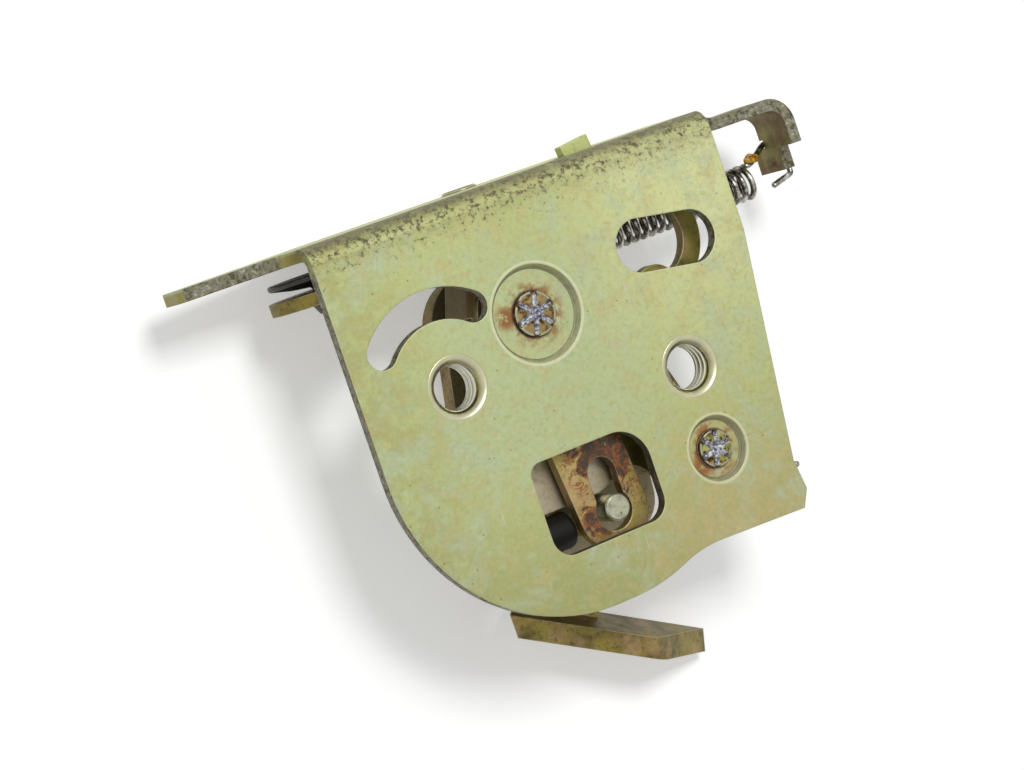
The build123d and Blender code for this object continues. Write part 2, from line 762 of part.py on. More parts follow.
# ---- springs ----
def pull_spring():
    """The extension spring between the release lever's lug and the bracket's hook, with its two end hooks."""
    y = pull_spring_y
    z = pull_spring_z
    turns = (pull_spring_x1 - pull_spring_x0) / pull_spring_pitch
    to_x = Pos(pull_spring_x0, y, z) * Rot(0, 90, 0)
    body = placed(to_x, coil_points(pull_spring_r, pull_spring_pitch, turns))
    left = [
        Vector(lug_x - wire, y - 2 * wire, z),
        Vector(lug_x - wire, y, z),
        Vector(pull_spring_x0 - 2 * wire, y, z),
        Vector(pull_spring_x0 - wire, y, z - pull_spring_r),
    ]
    top = hook_notch_y + hook_notch_w / 2
    far = hook_x + wire
    right = [
        Vector(pull_spring_x1 + wire, y + pull_spring_r, z),
        Vector(hook_x - sheet, top, z - wire),
        Vector(far, top, z - wire),
        Vector(far, hook_end_y - wire, z),
        Vector(far - 2 * sheet, hook_end_y - 2 * wire, z),
    ]
    return wire_along(left + body + right)


def torsion_points(radius):
    """A close coil about +Z whose ends run straight on, one along -Y and the other along +Y."""
    pitch = wire + run_gap / 2
    body = coil_points(radius, pitch, coil_turns)
    return [Vector(radius, -2 * radius, 0)] + body + [Vector(radius, radius, pitch * coil_turns)]


def main_spring():
    """The torsion spring round the main spacer, with its legs along the levers."""
    start = release_back_z - run_gap - wire / 2
    turned = Pos(main_pivot.X, main_pivot.Y, start) * Rot(180, 0, 0)
    return wire_along(placed(turned, torsion_points(main_coil_r)))


def lock_spring():
    """The torsion spring behind the lock lever, with a leg along the lever and a leg at the plate's edge."""
    start = lock_coil_z - wire
    body = placed(Pos(lock_pivot.X, lock_pivot.Y, start) * Rot(180, 0, 0), torsion_points(stud_coil_r))
    edge = Vector(waist_x + wire, waist_y - wire, body[-2].Z)
    return wire_along(body[:-1] + [edge, Vector(edge.X, edge.Y, -wire / 2)])


def inside_spring():
    """The torsion spring between the flange and the inside lever."""
    start = flange_in_y - run_gap - wire / 2
    turned = Pos(inside_pivot.X, start, inside_pivot.Y) * Rot(90, 0, 0) * Rot(0, 0, 180)
    return wire_along(placed(turned, torsion_points(stud_coil_r)))


pieces = {
    "bracket": bracket,
    "main_stud": main_stud,
    "main_spacer": main_spacer,
    "main_washer": main_washer,
    "lock_stud": lock_stud,
    "inside_stud": inside_stud,
    "stop_lug": stop_lug,
    "stop_buffer": stop_buffer,
    "release_lever": release_lever,
    "outside_lever": outside_lever,
    "lock_lever": lock_lever,
    "coupling_link": coupling_link,
    "pusher_pin": pusher_pin,
    "link_stub": link_stub,
    "inside_lever": inside_lever,
    "rod_clip": rod_clip,
    "pull_spring": pull_spring,
    "main_spring": main_spring,
    "lock_spring": lock_spring,
    "inside_spring": inside_spring,
}

os.makedirs("parts", exist_ok=True)
for name, build in pieces.items():
    export_step(build(), f"parts/{name}.step")
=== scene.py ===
import json
from math import pi

import bmesh
import bpy
import numpy as np
from bpy.props import FloatProperty, FloatVectorProperty, PointerProperty
from mathutils import Matrix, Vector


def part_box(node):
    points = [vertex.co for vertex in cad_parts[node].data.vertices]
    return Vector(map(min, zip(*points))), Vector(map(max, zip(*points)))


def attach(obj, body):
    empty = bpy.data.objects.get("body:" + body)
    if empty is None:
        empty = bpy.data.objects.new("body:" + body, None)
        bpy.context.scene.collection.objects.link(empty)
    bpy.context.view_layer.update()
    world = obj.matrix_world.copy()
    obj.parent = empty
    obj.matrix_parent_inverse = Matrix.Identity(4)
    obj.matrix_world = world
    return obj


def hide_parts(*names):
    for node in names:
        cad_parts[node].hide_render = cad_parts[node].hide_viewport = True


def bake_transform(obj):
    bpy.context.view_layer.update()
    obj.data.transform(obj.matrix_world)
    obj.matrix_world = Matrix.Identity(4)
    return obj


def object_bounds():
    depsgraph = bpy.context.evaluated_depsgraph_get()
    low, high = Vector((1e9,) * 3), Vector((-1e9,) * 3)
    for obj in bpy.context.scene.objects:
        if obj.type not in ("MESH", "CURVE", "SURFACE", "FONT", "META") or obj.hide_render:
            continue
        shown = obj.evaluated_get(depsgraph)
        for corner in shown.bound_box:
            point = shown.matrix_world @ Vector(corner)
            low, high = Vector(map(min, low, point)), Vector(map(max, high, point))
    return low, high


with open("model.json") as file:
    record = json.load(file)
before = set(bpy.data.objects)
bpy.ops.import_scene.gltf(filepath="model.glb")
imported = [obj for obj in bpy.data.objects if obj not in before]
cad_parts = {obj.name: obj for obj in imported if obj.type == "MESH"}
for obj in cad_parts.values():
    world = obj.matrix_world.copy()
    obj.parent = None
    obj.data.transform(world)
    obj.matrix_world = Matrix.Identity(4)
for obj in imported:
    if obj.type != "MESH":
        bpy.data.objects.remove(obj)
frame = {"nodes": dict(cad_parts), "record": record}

bl_info = {
    "name": "Door latch actuator",
    "version": (1, 0, 0),
    "blender": (4, 5, 0),
    "location": "View3D > Sidebar > Latch",
    "description": "Plated bracket, staked studs, formed threads and springs of a door latch actuator",
    "category": "Add Mesh",
}

MM = 0.001
cad_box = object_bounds()

# Places and sizes on the part, in millimetres.
WELD = 0.002
PLATE_MIDDLE = (14.0, -1.0, 0.0)
GOLDEN_CORNER = (40.0, -36.0, 0.0)
NICKED_CORNER = (46.0, -30.0, 0.0)
WINDOW_MIDDLE = (18.5, -22.0, -1.0)
MAIN_DIMPLE = (16.6, 6.2, -1.2)
LOCK_DIMPLE = (39.1, -23.6, -1.2)
DIMPLE_WALL_Z = -0.6
MAIN_FLOOR_R, LOCK_FLOOR_R = 7.1, 4.7
RUSTED_PIN = (22.0, -17.5, -3.5)
GREASED_WIRE = (69.3, 16.5, -12.6)
TORSION_TURNS = 3
TORSION_STEP = 0.2
WIRE_SIDES = 14
WIRE_LEAN = (0.7, 0.5, 0.52)
LAMP_PLACE, LAMP_TARGET, LAMP_SIDE = (70.0, 410.0, 890.0), (20.0, 0.0, -10.0), 270.0
FLOOR_REACH = 3000.0

WHITE = (1.0, 1.0, 1.0, 1.0)
FLOOR_WHITE = (0.93, 0.93, 0.93, 1.0)


# ---- surfaces worked out as arrays, in millimetres ----

def turned(right, up, back, place):
    """The matrix of an object with these axes at this place."""
    rows = np.stack([right, up, back, place], axis=-1)
    return Matrix(np.vstack([rows, (0.0, 0.0, 0.0, 1.0)]).tolist())


def placed(name, data):
    """A new object of the scene that holds the data."""
    holder = bpy.data.objects.new(name, data)
    bpy.context.scene.collection.objects.link(holder)
    return holder


def mesh_piece(name, verts, faces, values=None):
    """One object from an array of corners and a list of face arrays; values is an attribute per corner.

    Corners that meet at a seam or a pole are merged, and the faces are turned outwards.
    """
    loops = np.concatenate([face.ravel() for face in faces]).astype(np.int32)
    sizes = np.concatenate([np.full(len(face), face.shape[1]) for face in faces]).astype(np.int32)
    starts = np.concatenate([[0], np.cumsum(sizes)[:-1]]).astype(np.int32)
    mesh = bpy.data.meshes.new(name)
    mesh.vertices.add(len(verts))
    mesh.vertices.foreach_set("co", (verts * MM).ravel().astype(np.float32))
    mesh.loops.add(len(loops))
    mesh.loops.foreach_set("vertex_index", loops)
    mesh.polygons.add(len(sizes))
    mesh.polygons.foreach_set("loop_start", starts)
    mesh.polygons.foreach_set("use_smooth", np.ones(len(sizes), dtype=bool))
    mesh.update(calc_edges=True)
    for key, value in (values or {}).items():
        layer = mesh.attributes.new(key, "FLOAT", "POINT")
        layer.data.foreach_set("value", value.astype(np.float32))
    merged = bmesh.new()
    merged.from_mesh(mesh)
    bmesh.ops.remove_doubles(merged, verts=merged.verts, dist=WELD * MM)
    bmesh.ops.recalc_face_normals(merged, faces=merged.faces)
    merged.to_mesh(mesh)
    merged.free()
    return placed(name, mesh)


def grid_faces(rows, cols, wrap_rows, wrap_cols):
    """Quads that join each point of a grid to the next in both directions, round the ends where it wraps."""
    index = np.arange(rows * cols).reshape(rows, cols)
    right = np.roll(index, -1, axis=1)
    down = np.roll(index, -1, axis=0)
    both = np.roll(down, -1, axis=1)
    quads = np.stack([index, right, both, down], axis=-1)
    quads = quads if wrap_rows else quads[:-1]
    quads = quads if wrap_cols else quads[:, :-1]
    return quads.reshape(-1, 4)


def revolved(name, centre, axis_up, side, profile, steps):
    """A profile turned round an axis: centre + height(v) axis + radius(v) (cos u side + sin u front).

    The profile's ends lie on the axis or meet each other, so the skin is closed.
    """
    up = np.array(axis_up, float)
    across = np.array(side, float)
    front = np.cross(up, across)
    turn = np.linspace(0, 2 * pi, steps, endpoint=False)[:, None, None]
    radius = profile[None, :, 0, None]
    height = profile[None, :, 1, None]
    points = np.array(centre, float) + height * up + radius * (np.cos(turn) * across + np.sin(turn) * front)
    return mesh_piece(name, points.reshape(-1, 3), [grid_faces(steps, len(profile), True, False)])


def eased(points, step, window):
    """Straight runs between the points, walked at an even step, with corners eased by a moving average."""
    points = np.array(points, float)
    lengths = np.linalg.norm(np.diff(points, axis=0), axis=1)
    along = np.concatenate([[0], np.cumsum(lengths)])
    walk = np.linspace(0, along[-1], int(along[-1] / step) + 1)
    line = np.stack([np.interp(walk, along, points[:, k]) for k in range(3)], axis=-1)
    count = max(3, int(window / step) | 1)
    weights = np.hanning(count + 2)[1:-1]
    weights = weights / weights.sum()
    pad = count // 2
    first = line[0] + (line[0] - line[1:pad + 1][::-1])
    last = line[-1] + (line[-1] - line[-pad - 1:-1][::-1])
    line = np.concatenate([first, line, last])
    return np.stack([np.convolve(line[:, k], weights, mode="valid") for k in range(3)], axis=-1)


def wire_piece(name, path, radius):
    """A round wire: point (u, v) = path(u) + radius (cos v across + sin v over), both square to the path.

    Across is the path's direction crossed with a fixed leaning vector that it never runs along. Each end
    is a flat face with a chamfered rim, as a cropped wire's is.
    """
    face, chamfer = 0.7 * radius, 0.3 * radius
    along = np.gradient(path, axis=0)
    along /= np.linalg.norm(along, axis=1, keepdims=True)
    across = np.cross(along, WIRE_LEAN)
    across /= np.linalg.norm(across, axis=1, keepdims=True)
    over = np.cross(along, across)
    path, along, across, over = (np.pad(line, ((2, 2), (0, 0)), mode="edge")
                                 for line in (path, along, across, over))
    reach = np.full(len(path), radius)
    reach[:2] = 0.0, face
    reach[-2:] = face, 0.0
    push = np.zeros(len(path))
    push[:2] = -chamfer
    push[-2:] = chamfer
    turn = np.linspace(0, 2 * pi, WIRE_SIDES, endpoint=False)[None, :, None]
    ring = np.cos(turn) * across[:, None] + np.sin(turn) * over[:, None]
    points = (path + push[:, None] * along)[:, None] + reach[:, None, None] * ring
    return mesh_piece(name, points.reshape(-1, 3), [grid_faces(len(path), WIRE_SIDES, False, True)])


def helix(radius, pitch, turns, step):
    """Points of a coil about +Z from (radius, 0, 0): the angle and the height grow together."""
    turn = np.linspace(0, 2 * pi * turns, int(turns * 2 * pi * radius / step))
    return np.stack([radius * np.cos(turn), radius * np.sin(turn), pitch * turn / (2 * pi)], axis=-1)


def rounded_profile(points, radius, steps):
    """A profile of straight runs whose inner corners are cut by quadratic curves that start a radius away."""
    points = np.array(points, float)
    before, at, after = points[:-2], points[1:-1], points[2:]
    back, ahead = before - at, after - at
    back_length = np.linalg.norm(back, axis=1)
    ahead_length = np.linalg.norm(ahead, axis=1)
    reach = np.minimum(radius, 0.45 * np.minimum(back_length, ahead_length))
    start = at + back * (reach / back_length)[:, None]
    end = at + ahead * (reach / ahead_length)[:, None]
    t = np.linspace(0, 1, steps)[None, :, None]
    curve = (1 - t) ** 2 * start[:, None] + 2 * t * (1 - t) * at[:, None] + t ** 2 * end[:, None]
    return np.concatenate([points[:1], curve.reshape(-1, 2), points[-1:]])


# ---- shader maths ----

class Value:
    """A shader socket that takes part in sums: each operator adds one Math node and gives its result."""

    def __init__(self, paint, socket):
        self.paint = paint
        self.socket = socket

    def maths(self, operation, *operands):
        made = self.paint.node("ShaderNodeMath", {"operation": operation}, dict(enumerate(operands)))
        return Value(self.paint, made.outputs[0])

    def __add__(self, other):
        return self.maths("ADD", self, other)

    def __sub__(self, other):
        return self.maths("SUBTRACT", self, other)

    def __mul__(self, other):
        return self.maths("MULTIPLY", self, other)

    def __rsub__(self, other):
        return self.maths("SUBTRACT", other, self)

    __radd__ = __add__

    def __abs__(self):
        return self.maths("ABSOLUTE", self)

    def largest(self, other):
        return self.maths("MAXIMUM", self, other)


def fill(tree, made, inputs):
    """Gives the sockets of a node their values or links."""
    for key, value in inputs.items():
        value = value.socket if isinstance(value, Value) else value
        if isinstance(value, bpy.types.NodeSocket):
            tree.links.new(value, made.inputs[key])
        else:
            made.inputs[key].default_value = value


def add_node(tree, kind, settings, inputs):
    """Any node: its type, its settings, which are set first, and the values or links of its sockets."""
    made = tree.nodes.new(kind)
    for key, value in settings.items():
        setattr(made, key, value)
    fill(tree, made, inputs)
    return made


class Paint:
    """A material under construction: its nodes, its coordinates in millimetres and its finished shader."""

    def __init__(self, name):
        self.material = bpy.data.materials.new(name)
        self.material.use_nodes = True
        self.tree = self.material.node_tree
        self.tree.nodes.clear()
        self.shader = self.node("ShaderNodeBsdfPrincipled", {}, {})
        self.output = self.node("ShaderNodeOutputMaterial", {}, {"Surface": self.shader.outputs[0]})
        coordinates = self.node("ShaderNodeTexCoord", {}, {})
        scaled = self.node("ShaderNodeVectorMath", {"operation": "SCALE"},
                           {0: coordinates.outputs["Object"], "Scale": 1 / MM})
        self.place = scaled.outputs[0]
        parts = self.node("ShaderNodeSeparateXYZ", {}, {0: self.place}).outputs
        self.x, self.y, self.z = (Value(self, part) for part in parts)
        facing = self.node("ShaderNodeSeparateXYZ", {}, {0: coordinates.outputs["Normal"]})
        self.facing_z = Value(self, facing.outputs[2])

    def node(self, kind, settings, inputs):
        return add_node(self.tree, kind, settings, inputs)

    def noise(self, size, detail, roughness, stretch=(1.0, 1.0, 1.0), shift=(0.0, 0.0, 0.0), warp=0.0):
        """Cloudy noise from 0 to 1 whose lumps are about size millimetres, stretched along the axes."""
        mapped = self.node("ShaderNodeMapping", {},
                           {"Vector": self.place, "Location": shift, "Scale": stretch})
        made = self.node("ShaderNodeTexNoise", {}, {
            "Vector": mapped.outputs[0], "Scale": 1 / size, "Detail": detail, "Roughness": roughness,
            "Distortion": warp})
        return Value(self, made.outputs["Fac"])

    def cells(self, size, shift=(0.0, 0.0, 0.0)):
        """Distance, in cells, to the nearest of scattered points about size millimetres apart."""
        mapped = self.node("ShaderNodeMapping", {}, {"Vector": self.place, "Location": shift})
        made = self.node("ShaderNodeTexVoronoi", {}, {"Vector": mapped.outputs[0], "Scale": 1 / size})
        return Value(self, made.outputs["Distance"])

    def rise(self, value, low, high, start=0.0, end=1.0):
        """Smooth step: start below low, end above high."""
        made = self.node("ShaderNodeMapRange", {"interpolation_type": "SMOOTHSTEP"},
                         {"Value": value, "From Min": low, "From Max": high, "To Min": start, "To Max": end})
        return Value(self, made.outputs["Result"])

    def fall(self, value, low, high):
        """Smooth step the other way: 1 below low, 0 above high."""
        return self.rise(value, low, high, 1.0, 0.0)

    def near(self, centre, inner, outer):
        """1 within inner millimetres of a point, 0 beyond outer."""
        made = self.node("ShaderNodeVectorMath", {"operation": "DISTANCE"}, {0: self.place, 1: centre})
        return self.fall(Value(self, made.outputs["Value"]), inner, outer)

    def attribute(self, name):
        return Value(self, self.node("ShaderNodeAttribute", {"attribute_name": name}, {}).outputs["Fac"])

    def mixed(self, share, a, b):
        """The colour a where share is 0 and b where it is 1."""
        colours = {6: a if isinstance(a, bpy.types.NodeSocket) else (*a, 1.0),
                   7: b if isinstance(b, bpy.types.NodeSocket) else (*b, 1.0)}
        made = self.node("ShaderNodeMix", {"data_type": "RGBA", "clamp_factor": True}, {0: share, **colours})
        return made.outputs[2]

    def coats(self, colour, *layers):
        """The colour with each layer, a pair of its share and its colour, laid over it in turn."""
        for share, tone in layers:
            colour = self.mixed(share, colour, tone)
        return colour

    def rounded_edges(self, radius):
        """(normal with edges rounded over radius millimetres, 1 on those edges and 0 away from them)."""
        bevel = self.node("ShaderNodeBevel", {"samples": 6}, {"Radius": radius * MM})
        flat = self.node("ShaderNodeNewGeometry", {}, {})
        turned = self.node("ShaderNodeVectorMath", {"operation": "DOT_PRODUCT"},
                           {0: bevel.outputs[0], 1: flat.outputs["Normal"]})
        return bevel.outputs[0], self.fall(Value(self, turned.outputs["Value"]), 0.80, 0.99)

    def finish(self, colour, roughness, metallic, bump=None, depth=0.0, normal=None, **fixed):
        """Sets the shader: colour, roughness and metallic may vary, the other sockets are plain numbers."""
        sockets = {"Base Color": colour, "Roughness": roughness, "Metallic": metallic, **fixed}
        if bump is not None:
            relief = {"Height": bump, "Distance": depth * MM}
            if normal is not None:
                relief["Normal"] = normal
            sockets["Normal"] = self.node("ShaderNodeBump", {}, relief).outputs[0]
        fill(self.tree, self.shader, sockets)
        return self.material


# ---- finishes ----

def bracket_paint(finish):
    """Yellow zinc plating: bluish and pale in the middle of the plate, yellow at the upper right, darker low
    down, mottled, dirty along the bend, rusty round the staked heads, with bare sheared edges; painted shade
    at the left, over the bend and on the window's walls, and painted highlights on the edges and the dimples'
    walls and lips."""
    p = Paint("bracket_plating")
    normal, edge = p.rounded_edges(0.3)
    cloud = p.noise(15.0, 4.0, 0.6, warp=0.5)
    tint = p.noise(4.5, 5.0, 0.65, shift=(11.0, 3.0, 0.0))
    fine = p.noise(0.8, 4.0, 0.75, shift=(2.0, 5.0, 1.0))
    blotch = p.noise(3.2, 6.0, 0.72, shift=(22.0, 6.0, 0.0), warp=0.4)
    grain = p.noise(0.28, 2.0, 0.6)
    dirt = p.noise(1.0, 5.0, 0.78, shift=(3.0, 0.0, 9.0))
    colour = p.coats(
        plate_tint(p, finish, cloud, tint),
        (p.rise(blotch, 0.50, 0.70) * 0.42, finish.plating_blue),
        (p.fall(blotch, 0.34, 0.46) * 0.40, finish.plating_gold),
        (p.fall(fine, 0.30, 0.52) * 0.38, finish.dull_plating_and_shade),
        (p.rise(fine, 0.52, 0.72) * 0.16, finish.bright_plating_and_highlight))
    colour, soil = bend_soil_and_shade(p, finish, colour, dirt)
    colour = plate_wear(p, finish, colour)
    colour, rust = head_rust(p, finish, colour)
    colour = dimple_shade_and_highlight(p, finish, colour, dirt)
    wall, sheared = plate_walls(p)
    streak = p.rise(p.noise(1.1, 5.0, 0.75, stretch=(1.0, 1.0, 2.0)), 0.35, 0.62)
    behind = p.fall(p.z, -2.6, -2.05) * (1 - sheared) * p.fall(p.y, 26.6, 27.0)
    # painted shade: the sheared walls round the window, darkened with the soil colour
    inside = sheared * p.near(WINDOW_MIDDLE, 12.0, 14.5) * p.rise(blotch, 0.35, 0.55, 0.6, 1.0)
    hook = p.rise(p.x, 62.0, 66.0) * (1 - sheared)
    colour = p.coats(
        colour,
        # painted highlight on the dimples' walls
        (wall * p.rise(tint, 0.3, 0.6, 0.5, 0.9), finish.bright_plating_and_highlight),
        (sheared * 0.92, p.mixed(streak, finish.bare_edge, finish.edge_dull)),
        (sheared * p.rise(dirt, 0.50, 0.60) * 0.8, finish.soil),
        (sheared * p.fall(dirt, 0.33, 0.42) * 0.6, finish.bright_plating_and_highlight),
        (behind * 0.8, finish.lever_bronze),
        # painted shade on the window's walls
        (inside * 0.8, finish.soil),
        (hook * p.rise(tint, 0.35, 0.55) * 0.9, finish.hook_brown),
        (hook * p.rise(blotch, 0.52, 0.62) * 0.5, finish.dull_plating_and_shade),
        (hook * p.fall(blotch, 0.34, 0.44) * 0.7, finish.dark_rust),
        # painted highlight along the rounded edges, standing also for rubbed plating
        (edge * 0.5 * (1 - sheared) * (1 - behind), finish.bright_plating_and_highlight))
    rough = 0.38 + fine * 0.22 + soil * 0.25 + sheared * 0.1 - wall * 0.15
    bump = grain * 0.3 + fine * 0.9 + tint + blotch * 0.6 + sheared * streak * 2 - soil * 0.5
    return p.finish(colour, rough, 0.52 - soil * 0.4 - rust * 0.4, bump, 0.045, normal)


def plate_tint(p, finish, cloud, tint):
    """The slow changes of the plating's colour over the plate, with its left darkened as painted shade."""
    pale = p.rise(p.near(PLATE_MIDDLE, 4.0, 34.0) * 0.75 + cloud * 0.8, 0.5, 1.0)
    right = p.rise(p.x, 18.0, 46.0) * p.rise(p.y, -22.0, 18.0)
    left = p.fall(p.x, -15.0, 2.0) * p.rise(tint, 0.30, 0.6)
    bluish = p.rise(p.noise(9.0, 6.0, 0.7, shift=(31.0, 9.0, 4.0), warp=0.6), 0.48, 0.68)
    return p.coats(
        p.mixed(pale, finish.plating_green, finish.plating_pale),
        (right * 0.9 * p.rise(cloud, 0.2, 0.6, 0.7, 1.0), finish.plating_yellow),
        (p.fall(p.y, -40.0, -14.0) * 0.75, finish.dull_plating_and_shade),
        (p.near(GOLDEN_CORNER, 4.0, 26.0) * p.rise(tint, 0.3, 0.6, 0.4, 0.8), finish.plating_gold),
        # painted shade: the plate's left darkened
        (left * 0.7, finish.dull_plating_and_shade),
        (p.rise(tint, 0.48, 0.68) * 0.50, finish.plating_gold),
        (bluish * 0.65, finish.plating_blue))


def bend_soil_and_shade(p, finish, colour, dirt):
    """Brown and black dirt that thickens up the bend, a darkening up the bend that is partly grime and partly
    painted shade, and a dark mottled band along the crown: (colour with these on it, share of dirt and
    crown).
    """
    front = p.rise(p.z, -5.0, -3.2)
    veil = p.noise(2.6, 6.0, 0.75, shift=(0.0, 9.0, 0.0))
    spread = dirt + p.rise(p.y, 19.5, 26.6) * front * 0.13
    soil = p.rise(spread, 0.63, 0.74) * p.rise(p.y, 17.0, 20.0) * front
    crown = p.rise(p.y, 25.6, 26.9) * front * p.rise(veil, 0.28, 0.48)
    colour = p.coats(
        colour,
        # partly painted shade, partly grime: the bend darkened towards its top, patchy with the veil noise
        (p.rise(p.y, 21.0, 26.0) * front * (0.2 + veil * 0.7), finish.dull_plating_and_shade),
        (p.rise(spread, 0.55, 0.68) * p.rise(p.y, 18.0, 21.0) * front * 0.5, finish.edge_dull),
        (soil * 0.7, finish.soil),
        (crown * 0.7, finish.edge_dull))
    return colour, soil.largest(crown * 0.6)


def plate_wear(p, finish, colour):
    """Dark specks, bright scratches along the plate and nicks at its lower right."""
    specks = p.fall(p.cells(2.1, shift=(5.0, 2.0, 0.0)), 0.03, 0.09)
    specks = specks * p.rise(p.noise(5.0, 3.0, 0.5, shift=(1.0, 1.0, 0.0)), 0.44, 0.52)
    scratch = p.rise(p.noise(0.55, 2.0, 0.5, stretch=(1.0, 0.03, 1.0), shift=(9.0, 4.0, 0.0)), 0.70, 0.73)
    scratch = scratch * p.rise(p.noise(8.0, 2.0, 0.5, shift=(8.0, 1.0, 0.0)), 0.5, 0.62)
    nick = p.rise(p.noise(0.7, 2.0, 0.5, stretch=(0.05, 0.8, 1.0), shift=(3.0, 14.0, 0.0)), 0.68, 0.72)
    nick = nick * p.near(NICKED_CORNER, 4.0, 15.0)
    return p.coats(colour, (specks * 0.65, finish.soil), (scratch * 0.5, finish.steel_bright),
                   (nick * 0.8, finish.soil))


def plate_walls(p):
    """(share of the dimples' walls, share of the sheared edges)."""
    side = (1 - p.rise(abs(p.facing_z), 0.3, 0.6)) * p.rise(p.z, -2.3, -2.1) * p.fall(p.y, 22.0, 24.0)
    main = p.near((*MAIN_DIMPLE[:2], DIMPLE_WALL_Z), MAIN_FLOOR_R + 0.8, MAIN_FLOOR_R + 1.0)
    lock = p.near((*LOCK_DIMPLE[:2], DIMPLE_WALL_Z), LOCK_FLOOR_R + 0.8, LOCK_FLOOR_R + 1.0)
    wall = main.largest(lock) * side
    arm = p.rise(p.facing_z, 0.6, 0.9) * p.fall(p.z, -5.0, -3.8)
    return wall, (side * (1 - wall)).largest(arm)


def dimple_shade_and_highlight(p, finish, colour, dirt):
    """A painted shade line in the corner of each dimple's floor, its strength varied by the dirt noise, and a
    painted highlight on the lip outside it.
    """
    for centre, radius in ((MAIN_DIMPLE, MAIN_FLOOR_R), (LOCK_DIMPLE, LOCK_FLOOR_R)):
        line = p.near(centre, radius + 0.02, radius + 0.30)
        line = line * (1 - p.near(centre, radius - 0.30, radius - 0.08))
        lip = p.near(centre, radius + 0.95, radius + 1.2)
        lip = lip * (1 - p.near(centre, radius + 0.6, radius + 0.8))
        colour = p.coats(
            colour,
            # painted shade: dark line in the dimple's corner
            (line * (0.55 + dirt * 0.6), finish.soil),
            # painted highlight on the lip round the dimple
            (lip * 0.5, finish.bright_plating_and_highlight))
    return colour


def head_rust(p, finish, colour):
    """Rust and brown stain in the dimples: (colour with the rust on it, share of rust)."""
    rust = None
    for centre, radius, spot, shift in ((MAIN_DIMPLE, 3.5, (11.9, 7.0, -1.2), 2.0),
                                        (LOCK_DIMPLE, 2.95, (36.2, -25.4, -1.2), 7.0)):
        patch = p.noise(1.5, 4.0, 0.7, shift=(shift, 6.0, 0.0))
        halo = p.near(centre, radius, radius + 2.6) * p.rise(patch, 0.42, 0.60)
        here = halo.largest(p.near(spot, 0.8, 2.6) * p.rise(patch, 0.35, 0.5))
        ring = p.near(centre, radius + 0.05, radius + 0.55)
        colour = p.coats(colour, (here * 0.9, finish.rust), (ring * 0.9, finish.dark_rust))
        rust = here if rust is None else rust.largest(here)
    return colour, rust


def lever_paint(name, base, dark, finish, grime=0.5, rust_at=None, tips=()):
    """Bronze-toned zinc plating of a lever. rust_at adds dark rust with orange flow lines round a point, and
    tips are pairs of a place on the lever and the colour that it has there."""
    p = Paint(name)
    normal, edge = p.rounded_edges(0.3)
    cloud = p.noise(6.0, 4.0, 0.6, warp=0.3)
    fine = p.noise(0.7, 4.0, 0.7, shift=(7.0, 2.0, 5.0))
    grain = p.noise(0.3, 2.0, 0.6)
    pink = p.rise(p.noise(5.0, 3.0, 0.5, shift=(12.0, 5.0, 0.0)), 0.48, 0.62)
    soil = p.rise(p.noise(1.2, 5.0, 0.75, shift=(4.0, 8.0, 2.0)), 0.53, 0.66) * grime
    colour = p.coats(
        p.mixed(p.rise(cloud, 0.35, 0.7), base, dark),
        (pink * 0.35, finish.plating_pink),
        *((where(p), tone) for where, tone in tips),
        (p.rise(fine, 0.5, 0.8) * 0.4, dark),
        (soil, finish.soil))
    rough = 0.34 + fine * 0.18 + soil * 0.25
    metallic = 0.75 - soil * 0.4
    if rust_at is not None:
        colour, crust = flow_rust(p, finish, colour, rust_at)
        rough = rough - crust * 0.14
        metallic = metallic - crust * 0.6
    # painted highlight along the rounded edges, with rubbed plating
    colour = p.mixed(edge * 0.45, colour, finish.bright_plating_and_highlight)
    return p.finish(colour, rough, metallic, grain * 0.3 + fine * 0.7 + cloud, 0.03, normal)


def flow_rust(p, finish, colour, centre):
    """Rust that ran and dried: almost black crust, orange inside it, thin veins beyond: (colour, share)."""
    low_left = p.near((centre[0] - 5.0, centre[1] - 9.5, centre[2]), 0.5, 4.5)
    spread = p.near(centre, 1.0, 10.5).largest(low_left)
    flow = p.noise(2.4, 6.0, 0.62, shift=(6.0, 2.0, 0.0), warp=0.8)
    veins = p.fall(abs(flow - 0.5), 0.012, 0.035) * p.rise(spread, 0.0, 0.25)
    body = p.rise(flow + spread * 0.30, 0.62, 0.72)
    ochre = p.rise(p.noise(1.3, 4.0, 0.7, shift=(1.0, 7.0, 0.0), warp=0.4), 0.50, 0.62)
    window_corner = (24.5, -23.5, centre[2])
    grit = p.rise(p.noise(0.45, 3.0, 0.8), 0.56, 0.64) * p.near(window_corner, 3.0, 7.0)
    colour = p.coats(
        colour,
        (body * 0.92, p.mixed(ochre * 0.8, finish.dark_rust, finish.rust)),
        (veins * 0.9, finish.rust),
        (grit * 0.85, finish.dark_rust))
    return colour, body.largest(veins)


def above_flange(p):
    return p.rise(p.y, 25.0, 26.5)


def blade(p):
    return p.rise(p.facing_z, 0.6, 0.9) * p.rise(p.y, -36.0, -33.0)


def neck(p):
    """The lock lever's face round its pusher."""
    return p.rise(p.facing_z, 0.6, 0.9) * p.fall(p.x, 20.0, 25.0) * p.fall(p.y, -12.0, -9.0)


def ear(p):
    """The release lever's bent ear and what lies above its pivot, painted dark as shade under the plate."""
    return p.rise(p.y, -4.0, 2.0) * 0.85


